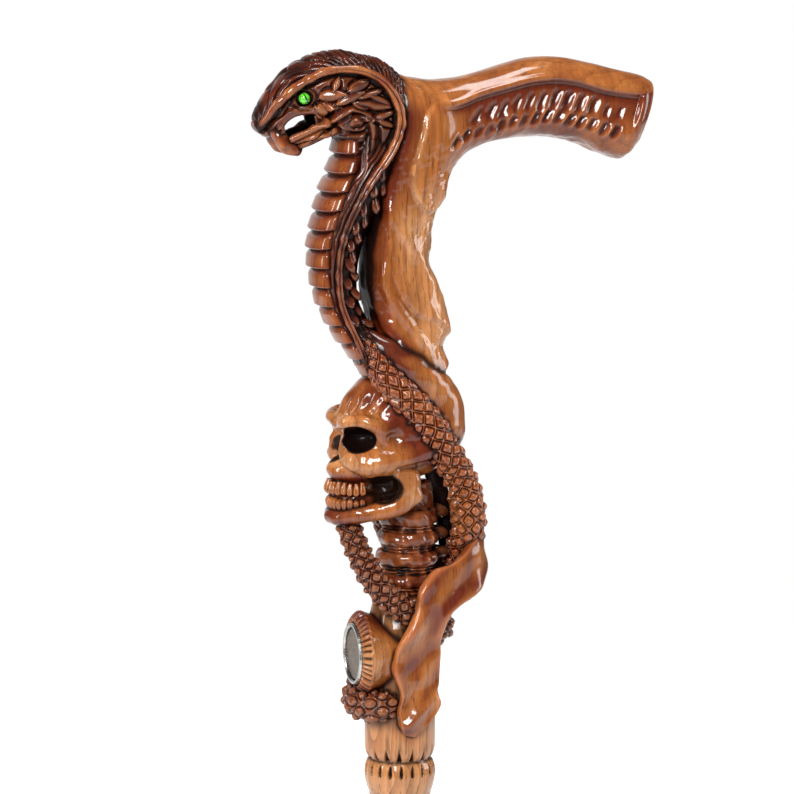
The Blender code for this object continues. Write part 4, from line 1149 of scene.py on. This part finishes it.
def make_skull():
    def relief(x, y, z, normals):
        return 0.3 * ripple(x, y, z, 9.0, 11) + 0.03 * ripple(x, y, z, 2.6, 12)

    def stain(x, y, z, normals):
        mouth = 0.6 * fall(-20, -12, x) * fall(748, 756, z) * rise(738, 742, z)
        crown = 0.55 * rise(774, 782, z) * (0.6 + 0.4 * ripple(x, y, z * 0.6, 9.0, 15))
        temple = 0.75 * bump(x, -9, 5.5) * bump(z, 772, 8.0)
        back = 0.85 * rise(-8, 3, x) * fall(772, 784, z) * rise(752, 758, z)
        jaw = 0.4 * fall(734, 738, z)
        brow = 0.5 * bump(z, 774, 2.6) * fall(-16, -8, x)
        cheek = 0.7 * bump(z, 756.5, 5.0) * fall(-8, 2, x) + 0.6 * bump(x, -1, 6.0) * bump(z, 747, 9.0)
        uneven = 0.16 * ripple(x, y, z, 9.0, 13)
        return np.clip(0.12 + mouth + crown + temple + back + jaw - cheek - brow + uneven, -1, 1)

    def shade(x, y, z, normals):
        dark = 0.25 * bump(x, -8, 4.0) * bump(z, 770, 5.0)
        # The socket is painted black. The dark inside the nose hole, the mouth hollow and deep between the
        # jaws (in_mouth) is painted shade.
        for hole, strength, edge in ((SOCKET, 1.0, 0.8), (NOSE_HOLE, 0.97, 0.8), (MOUTH_HOLLOW, 0.96, 1.3)):
            dark = np.maximum(dark, strength * fall(0.3, edge, egg_distance(x, np.abs(y), z, *hole)))
        in_mouth = rise(-17, -13, x) * fall(-2, 1, x) * rise(738, 740, z) * fall(751, 753, z)
        return np.maximum(dark, 0.95 * in_mouth * fall(12.6, 13.6, np.abs(y)))

    carve("skull", raised(skull_field().skin(), relief), stain, shade, depth=0.8, reach=12)


def tooth(foot, root, width, depth, outward):
    """A rounded block from its biting edge up to its root, with a slight hollow down its face."""
    foot, root, outward = np.array(foot), np.array(root), np.array(outward)
    across = np.cross(outward, [0, 0, 1])
    sine = np.sin(circle(28))
    wide, thick = signed_power(np.cos(circle(28)), 0.8), signed_power(sine, 0.8)
    rings = []
    for t in np.linspace(0.0, 1.0, 24):
        end = math.sqrt(max(0.02, 1 - (1 - min(1.0, 3.0 * t)) ** 2)) * (1 - 0.45 * t**2)
        dip = 0.35 * bump(wide, 0, 0.4) * (sine > 0) * math.sin(math.pi * t)
        centre = foot + (root - foot) * t + outward * 0.4 * math.sin(math.pi * min(t * 1.1, 1))
        ring = np.outer(wide * width / 2 * end, across) + np.outer((thick - dip) * depth / 2 * end, outward)
        rings.append(centre + ring)
    return grid_mesh(np.array(rings))


def make_teeth():
    """Two rows of teeth along the arch of both jaws, none quite like the next."""
    picker = np.random.default_rng(5)
    teeth = []
    a_side = 7
    rows = ((742.8, 748.0, 11.6, 10.8, 1.0), (741.5, 735.8, 11.0, 10.2, 0.96))
    for edge, root, depth, half, size in rows:
        for i in range(-a_side, a_side + 1):
            turn = math.radians(86) * i / a_side
            outward = (-math.cos(turn), math.sin(turn), 0.0)
            x, y = -18.0 - depth * math.cos(turn), half * math.sin(turn)
            foot = (x, y, edge + picker.uniform(-0.3, 0.3))
            top = (x + 0.4 * math.cos(turn), y * 0.97, root + picker.uniform(-0.3, 0.3))
            teeth.append(tooth(foot, top, size * picker.uniform(2.55, 2.85), 3.6, outward))
    carve("skull_teeth", joined(teeth), stain=-0.2, shade=0.05, depth=0.3, reach=5)


def make_cowl():
    """The smooth fold that comes out from under the cloth and runs on into the skull's back."""
    fold = [
        (-18.6, -8, 810, 1.4), (-16.2, -9, 807, 3), (-11, -11.4, 801.5, 5.8), (-2, -13, 795, 7.6),
        (6.2, -11.4, 787.6, 9), (12, -7.8, 778.6, 11.1), (13, -7, 768, 11.6), (12.6, -6.4, 762.6, 10.4),
    ]
    mesh = fused([tube_pair(fold, 44, 32)], voxel=0.5)

    def stain(x, y, z, normals):
        below = 0.9 * fall(762, 771, z)
        return np.clip(-0.3 + 1.2 * fall(-12, 9, x) + below + 0.2 * ripple(x, y, z, 10.0, 22), -0.5, 1)

    def shade(x, y, z, normals):
        return 0.35 * fall(-10, 4, x)

    skin = raised(mesh, lambda x, y, z, normals: 0.12 * ripple(x, y, z, 8.0, 21))
    carve("cowl", skin, stain, shade, depth=0.9, reach=10)


def make_back_web():
    """The upright web of wood left standing behind the neck bones, painted nearly black as painted shade."""
    left = [
        (9.5, 10, 760), (12.4, 10, 751), (15.8, 10, 740.2), (17.2, 10, 733), (18.9, 10, 724),
        (20.2, 10, 711), (19.4, 9.4, 704),
    ]
    right = [
        (18, 10, 758), (20, 10, 749), (23.4, 10, 740), (24, 10, 731.5), (23.6, 10, 722), (23, 10, 709),
        (21.6, 9.4, 702),
    ]

    def strokes(x, y, z, normals):
        strand = from_middle((z + 0.35 * x + 0.8 * ripple(x, y, z, 9.0, 91)) / 1.1)
        return -0.08 * bump(strand, 1.0, 0.35) + 0.3 * ripple(x, y, z, 6.0, 92)

    web = raised(grid_mesh(band_grid(left, right, 5.0, 300)), strokes)
    # stain and shade make the web nearly black: painted shade.
    carve("back_web", web, stain=0.95, shade=0.96, depth=0.4, reach=6)


# The neck bones, the snake's coils and its tail

def make_spine():
    """Neck bones with a waist between one and the next, and a row of knobs down each side of them."""
    bones = [
        (732.4, 12.2, 3.4), (723.7, 12.4, 2.8), (715.6, 12.9, 2.9), (706.9, 12.6, 2.6), (698.4, 12.2, 2.6),
        (690.2, 11.8, 2.6),
    ]
    bone = ((1.0, 0.84), (0.8, 0.93), (0.4, 0.985), (0.0, 1.0), (-0.4, 0.98), (-0.8, 0.93), (-1.0, 0.84))
    waist = ((0.9, 0.8), (0.55, 0.855), (0.2, 0.79), (-0.2, 0.79), (-0.55, 0.855), (-0.9, 0.8))
    spine_x = 3.4
    outline = [(0.4, 748), (9.5, 746), (10, 740)]
    for (z, radius, half), (below, _, _) in zip(bones, bones[1:] + [(682, 0, 0)]):
        outline += [(radius * share, z + step * half) for step, share in bone]
        outline += [(radius * share, (z - half + below + 2.8) / 2 + step * 1.35) for step, share in waist]
    outline += [(9, 680), (0.4, 679)]

    def relief(x, y, z, normals):
        turn = np.arctan2(y, x - spine_x)
        return 0.3 * np.sin(3 * turn + 1.0 + 0.35 * z) + 0.25 * ripple(x, y, z, 5.0, 31)

    skin = raised(grid_mesh(turned_grid(outline, 170, 0.3, centre=(spine_x, 0, 0))), relief)
    carve("spine", skin, stain=0.8, shade=0.15, depth=0.45, reach=14)
    knobs = []
    for z, _, _ in bones:
        path = [
            (12, -4.4, z + 0.6, 1.8), (15.4, -3.2, z + 1.4, 2.2),
            (17.8, -1.4, z + 0.8, 2), (18.2, 0.4, z - 0.8, 1.3),
        ]
        knobs.append(tube_pair(path, 22, 18))
    carve("spine_knobs", joined(knobs), stain=0.9, shade=0.55, depth=0.5, reach=5)


def diamond_skin(path, rings, sides, count, beads, stretch):
    """A scaly tube. Two families of double grooves wind against each other and leave domed diamonds with
    a narrow strip between them. Towards the far end the diamonds turn into beads as far as beads says."""
    rows = curve_through(path, rings)
    travelled = distances_along(rows)
    share = travelled / travelled[-1]
    pitch = 2 * math.pi * np.maximum(rows[:, 3], 4.0) / count * stretch
    pitch = pitch * np.interp(share, [0, 0.5, 1], [1.0, 0.82, 0.8])
    phase = running_total(np.diff(travelled) / pitch[1:])[:, None]
    around = np.linspace(0, count, sides, endpoint=False)[None, :]
    waver = 0.05 * np.sin(2 * math.pi * (phase * 0.37 + around / count * 2))
    waver = waver + 0.04 * np.sin(2 * math.pi * (phase * 0.61 - around / count * 3))
    edge_a, edge_b = from_middle(phase + around + waver), from_middle(phase - around + waver)
    square = 1 - np.maximum(edge_a, edge_b)
    rounded = 1 - np.sqrt(edge_a**2 + edge_b**2)
    toward = np.interp(share, [0, 0.35, 0.7, 1.0], [0, beads * 0.3, beads, beads])[:, None]
    inside = square + (rounded - square) * toward
    dome = np.interp(share, [0, 0.06, 0.4, 1.0], [0.2, 0.8, 1.35, 1.35])[:, None]
    height = dome * np.clip((inside - 0.25) / 0.75, 0, 1) ** 0.55
    height = height - 0.9 * bump(inside, 0.18, 0.11) + 0.25 * bump(square, 0.0, 0.07) * (1 - 0.5 * toward)
    slender = np.minimum(1, rows[:, 3:4] / 4.0)
    height = np.append(height * slender, [height[0].mean(), height[-1].mean()])
    skin = grid_mesh(tube_grid(path, rings, sides))
    return raised(skin, lambda x, y, z, normals: height + 0.16 * ripple(x, y, z, 4.5, 71) - 0.2)


def make_snake():
    upper = [
        (-19.4, -6, 817, 0.8), (-18.8, -9, 810, 2), (-17, -12.4, 803, 3.8), (-13.4, -15.2, 795, 5.2),
        (-7.4, -17.2, 787, 6), (0.4, -18, 779.2, 6.1), (6.6, -17.8, 771.4, 6.2), (11.6, -16.4, 763.4, 6.3),
        (16.6, -13.8, 756.6, 6.3), (21.2, -11.2, 749.6, 6.2), (24.6, -9.4, 742.4, 6.2),
        (26.4, -8, 735, 6.4), (27.2, -5.6, 727.4, 6.5), (27, -0.6, 719.4, 6.2), (23.6, 6.6, 711.6, 5.8),
        (16.6, 12.6, 706.6, 5.6), (8.4, 16.4, 710.4, 5.5),
    ]
    lower = [
        (12.4, 14.8, 708, 5.3), (8.4, 16.4, 710.4, 5.3), (2.4, 17.2, 719.6, 5.3), (-1.8, 17.4, 729.6, 5.2),
        (-7.6, 16.4, 738, 5.1), (-14.6, 12.4, 741, 5), (-19.6, 6, 738, 4.8), (-22.6, -3, 731.4, 4.6),
        (-21.2, -8.5, 723.1, 4.6), (-17.6, -11.8, 714.2, 4.9), (-12.6, -13.4, 706.1, 5.1),
        (-6.4, -12.8, 699.4, 5.3), (4, -10.4, 693.6, 5.4), (13.4, -6, 690, 5.8), (15.6, 2, 684, 5.8),
        (8, 13, 677, 5.6), (-6, 14.6, 666, 5.6), (-15, 8.6, 659, 5.8), (-17.4, -3, 657, 6.1),
        (-14.2, -10.4, 657, 6), (-9, -11.6, 657.4, 5.2), (-4, -9, 657.6, 3),
    ]
    upper_skin = diamond_skin(upper, 560, 170, count=6, beads=0.5, stretch=1.2)
    lower_skin = diamond_skin(lower, 700, 140, count=5, beads=0.9, stretch=1.0)
    carve("snake_upper", upper_skin, stain=0.7, depth=0.22, reach=7)
    carve("snake_lower", lower_skin, stain=0.95, shade=0.42, depth=0.22, reach=7)


# The bare ribbon, the boss with its medallion, the column and the bulb ring

def band_grid(left, right, thickness, rings):
    """Rings of points around a flat band between two edges: a bead along each edge, a face that dips
    between them."""
    both = curve_through(np.column_stack([left, right]), rings)
    left, right = both[:, :3], both[:, 3:6]
    across = right - left
    face = np.cross(across, np.gradient((left + right) / 2, axis=0))
    face /= np.linalg.norm(face, axis=1)[:, None]
    wide = np.clip(np.linalg.norm(across, axis=1) / 12.0, 0.1, 1.0)[:, None]
    outline = [(-0.005, 0), (-0.002, 0.3)]
    for a in np.linspace(0.02, 0.98, 60):
        bead = 0.1 * (bump(a, 0.045, 0.04) + bump(a, 0.955, 0.04))
        outline.append((a, 0.5 + bead + 0.22 * math.sin(math.pi * a)))
    outline += [(1.002, 0.3), (1.005, 0), (1.002, -0.3)]
    outline += [(a, -0.5) for a in np.linspace(0.98, 0.02, 20)] + [(-0.002, -0.3)]
    return np.stack([left + across * a + face * (b * thickness * wide) for a, b in outline], 1)


RIBBON_FOLD = side_line([(11.6, 659.8), (9.6, 660.4), (6.4, 657.2), (2.1, 653.3), (-2.2, 650)])
RIBBON_HOLLOW = side_line([(3.2, 667.8), (2.2, 664.8), (-0.4, 661.2), (-2.7, 657.9)])


def make_ribbon():
    left = [
        (24, 10.5, 737.5), (29.4, 6, 736.6), (33, -1, 733), (30.6, -7, 726.5), (25, -10, 719),
        (18, -11.8, 714), (10, -14, 711), (4.2, -16.4, 704.6), (1.6, -17.8, 696), (-1.4, -18.4, 689),
        (-6, -17.6, 682.6), (-7.7, -16.6, 675), (-6.3, -16.2, 667.8), (-4.5, -16.2, 661.4),
        (-5.7, -16.2, 655), (-5, -16, 649.6), (-2.9, -15.8, 646),
    ]
    right = [
        (23, 14.5, 720), (28, 12, 717.6), (33, 7, 715), (35.2, -1, 710), (33.4, -5.4, 705),
        (30.4, -8.6, 701.6), (25.3, -11, 698.6), (17.1, -13.6, 694.2), (13.6, -13, 689), (12.7, -12.6, 684),
        (12.7, -12, 678.5), (12.7, -12, 672), (12.3, -12.4, 665.4), (11, -13.4, 660.4), (12, -13.8, 656.6),
        (7.4, -14.8, 649.6), (1.2, -15.4, 644.6),
    ]

    def relief(x, y, z, normals):
        hollow, along = from_line(x, z, RIBBON_HOLLOW)
        bends = 1.3 * bump(off_line(x, z, RIBBON_FOLD), 0, 2.2)
        bends -= 1.2 * rise(0, 5, along) * bump(hollow, 0, 2.6)
        uneven = 0.42 * ripple(x, y, z, 9.0, 41) + 0.06 * ripple(x, y, z, 4.0, 42)
        return on_side(normals, 0.2, 0.6) * bends + uneven

    def stain(x, y, z, normals):
        # bend is painted shade along the ribbon's hollow.
        bend = 0.35 * bump(off_line(x, z, RIBBON_HOLLOW), 0.5, 2.6) * rise(648, 654, z)
        upper = 0.3 * rise(680, 712, z)
        uneven = 0.45 * ripple(x, y, z, 11.0, 43) + 0.2 * ripple(x, y, z, 5.0, 44)
        return np.clip(0.3 + bend + upper + uneven, -0.3, 1)

    carve("ribbon", raised(grid_mesh(band_grid(left, right, 3.6, 420)), relief), stain, depth=1.0, reach=12)


def make_column():
    """The column with its bulb ring, a row of leaf cuts round the bulb and notches above the groove."""
    profile = [
        (0.3, 0), (12.5, 0), (12.6, 1), (13.4, 3.4), (14.1, 6.4), (14.4, 9.4), (14.2, 12.2), (13.4, 14.2),
        (12.7, 15), (12.9, 15.8), (13.8, 17.4), (14.3, 19.6), (14.4, 24), (14.4, 34), (14.2, 54), (13.4, 70),
        (11, 79), (0.3, 82),
    ]

    def cuts(x, y, z):
        turn = np.arctan2(y, x) / (2 * math.pi)
        h = (z - (HANDLE_BASE_Z + 11.4)) / 2.9
        leaf_cut = np.clip(1 - (from_middle(turn * 19) / (0.34 - 0.1 * h)) ** 2 - h * h, 0, 1)
        v = (z - (HANDLE_BASE_Z + 16.4)) / 5.0
        notch = np.clip(((1 - v) * 0.42 - from_middle(turn * 16 + 0.3)) / 0.42, 0, 1) * (v > -0.2) * (v < 1)
        return leaf_cut * (np.abs(h) < 1), notch

    def relief(x, y, z, normals):
        leaf_cut, notch = cuts(x, y, z)
        return -1.3 * np.sqrt(leaf_cut) - 1.4 * np.sqrt(notch) + 0.1 * ripple(x, y, z * 0.15, 5.0, 52)

    def shade(x, y, z, normals):
        leaf_cut, notch = cuts(x, y, z)
        cut = np.maximum(rise(0.02, 0.3, leaf_cut), rise(0.02, 0.3, notch))
        groove = 0.8 * bump(z, HANDLE_BASE_Z + 15.2, 0.8)
        streaks = 0.5 * rise(0.7, 1.5, ripple(x, y, z * 0.12, 3.0, 53)) * rise(634, 640, z)
        below_tail = 0.6 * rise(644, 652, z)
        return np.clip(np.maximum(0.93 * cut, groove + streaks + below_tail), 0, 0.95)

    grid = turned_grid(profile, 320, 0.36, centre=(0, 0, HANDLE_BASE_Z))
    carve("column_and_bulb", raised(grid_mesh(grid), relief), stain=-0.9, shade=shade, depth=0.5, reach=8)


def make_boss():
    """The wooden drum that holds the medallion, with radial chisel cuts around the ring."""
    profile = [
        (0.3, -4), (14.6, -4), (14.8, 6), (15.4, 10.4), (16.4, 13.2), (17, 15), (17.4, 16), (17.2, 16.8),
        (16.2, 18), (14.6, 19.2), (13.4, 19.6), (12.9, 19), (12.9, 17.2), (0.3, 17.2),
    ]

    def cuts(x, y, z):
        radius = np.hypot(y, z - MEDALLION_Z)
        turn = np.arctan2(y, z - MEDALLION_Z) / (2 * math.pi)
        waver = 0.12 * np.sin(7 * 2 * math.pi * turn) + 0.1 * np.sin(11 * 2 * math.pi * turn + 1)
        cut = bump((turn * 40 + waver) % 1, 0.5, 0.19)
        return cut * rise(13.1, 13.8, radius) * rise(16.0, 17.0, -x)

    def relief(x, y, z, normals):
        return -1.0 * cuts(x, y, z) + 0.08 * ripple(x, y, z, 5.0, 61)

    def stain(x, y, z, normals):
        # Painted light and shade: pale across the middle band and darker towards the top and bottom, as on a
        # drum lit from the front.
        return np.clip(-0.75 + 1.9 * (np.abs(z - MEDALLION_Z) / 16) ** 1.6, -1, 1)

    def shade(x, y, z, normals):
        # ends is painted shade at the top and bottom of the drum.
        ends = 0.6 * rise(11.0, 16.0, np.abs(z - MEDALLION_Z)) * fall(12.0, 15.0, -x)
        return np.clip(0.95 * cuts(x, y, z) + ends, 0, 0.95)

    grid = turned_grid(profile, 352, 0.36, centre=(0, 0, MEDALLION_Z), axis="-X")
    carve("medallion_boss", raised(grid_mesh(grid), relief), stain, shade, depth=0.5, reach=5)


def dress_cad_nodes():
    """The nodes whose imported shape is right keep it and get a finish."""
    finishes = {
        "medallion_bezel": make_metal("bezel_silver", (0.5, 0.49, 0.47, 1), 0.26),
        "medallion_face": make_metal("medallion_bronze", (0.23, 0.17, 0.12, 1), 0.4, tarnish=0.6),
        "joint_collar": make_paint("collar_black", (0.03, 0.03, 0.033, 1), 0.35),
        "joint_stud": make_metal("stud_steel", (0.55, 0.55, 0.56, 1), 0.3),
        "shaft_insert": make_metal("insert_brass", (0.7, 0.48, 0.18, 1), 0.28),
        "shaft": shaft_wood,
        "ferrule": make_paint("ferrule_rubber", (0.016, 0.016, 0.017, 1), 0.62),
        "ferrule_washer": make_metal("washer_steel", grey(0.5), 0.36),
    }
    for name, material in finishes.items():
        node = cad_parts[name]
        node.data.materials.clear()
        node.data.materials.append(material)


# The stage, the lights and the camera

def make_floor():
    """A pale floor that shows white, a little less so near the cane, where it keeps the shadow. It glows
    only for rays that show it: from the camera, in a reflection or through glass."""
    shader = Shader("floor")
    glow = shader.spread(shader.length(shader.place()), 0.2, 1.2, 0.35, 1.0)
    rays = shader.node("LightPath").outputs
    shown = shader.highest(rays["Is Camera Ray"], rays["Is Glossy Ray"], rays["Is Transmission Ray"])
    shader.set(
        Base_Color=shader.mix(shader.noise(3.0, detail=2.0), grey(0.78), grey(0.82)),
        Roughness=0.8,
        Emission_Color=grey(1),
        Emission_Strength=shader.math("MULTIPLY", glow, shown),
    )
    mesh = bpy.data.meshes.new("floor")
    reach = 3
    corners = [(-reach, -reach, 0), (reach, -reach, 0), (reach, reach, 0), (-reach, reach, 0)]
    mesh.from_pydata(corners, [], [(0, 1, 2, 3)])
    mesh.materials.append(shader.material)
    floor = placed("floor", mesh)


def aimed(name, data, place, way):
    """A lamp or camera at a place, looking along way."""
    holder = placed(name, data)
    holder.location = place
    holder.rotation_euler = way.to_track_quat("-Z", "Y").to_euler()
    return holder


def add_lamp(name, place, size, power):
    lamp = bpy.data.lights.new(name, "AREA")
    lamp.shape = "RECTANGLE"
    lamp.size, lamp.size_y = size
    lamp.energy = power
    aimed(name, lamp, place, Vector((0, 0, 0.78)) - Vector(place))


def make_light():
    """White all round for the camera, and behind the cane in reflections too, where the backdrop is. In
    reflections the camera's side is a dim room. Soft lamps and a low ambient are the real light."""
    world = bpy.data.worlds.new("studio")
    nodes = Nodes(world)
    way = nodes.node("SeparateXYZ", {0: nodes.node("TexCoord").outputs["Generated"]})
    reflected = nodes.spread(way.outputs["Y"], 0.75, 1.0, 0.1, 1.0)
    rays = nodes.node("LightPath").outputs
    ambient = 0.3
    lit = nodes.node("Mix", {"Factor": rays["Is Glossy Ray"], "A": ambient, "B": reflected}).outputs["Result"]
    background = nodes.tree.nodes["Background"].inputs
    nodes.feed(background["Strength"], nodes.highest(lit, rays["Is Camera Ray"], rays["Is Transmission Ray"]))
    nodes.feed(background["Color"], grey(1))
    bpy.context.scene.world = world
    add_lamp("key_softbox", (-0.75, -1.15, 1.5), (0.4, 0.6), 23)
    add_lamp("left_softbox", (-1.35, -0.15, 1.15), (0.12, 0.9), 9)
    add_lamp("right_softbox", (1.3, -0.3, 1.0), (0.5, 0.9), 9)
    add_lamp("top_softbox", (0.1, -0.15, 1.9), (0.35, 0.35), 5)


def make_camera():
    turn, rising = math.radians(CAMERA_TURN), math.radians(CAMERA_RISE)
    back = Vector((math.sin(turn) * math.cos(rising), -math.cos(turn) * math.cos(rising), math.sin(rising)))
    place = (Vector(CAMERA_AIM) + back * CAMERA_DISTANCE) * MM
    camera = aimed("camera", bpy.data.cameras.new("camera"), place, -back)
    camera.data.angle = 2 * math.atan(CAMERA_FIELD / 2 / CAMERA_DISTANCE)
    camera.data.clip_end = 20.0
    bpy.context.scene.camera = camera


make_camera()
make_light()
make_floor()
bpy.context.scene.view_settings.view_transform = "Standard"

make_grip_and_neck()
make_cobra()
make_cobra_trim()
make_eyes()
make_skull()
make_teeth()
make_cowl()
make_spine()
make_back_web()
make_snake()
make_ribbon()
make_column()
make_boss()
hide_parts("carved_handle")
darken_contacts()
dress_cad_nodes()
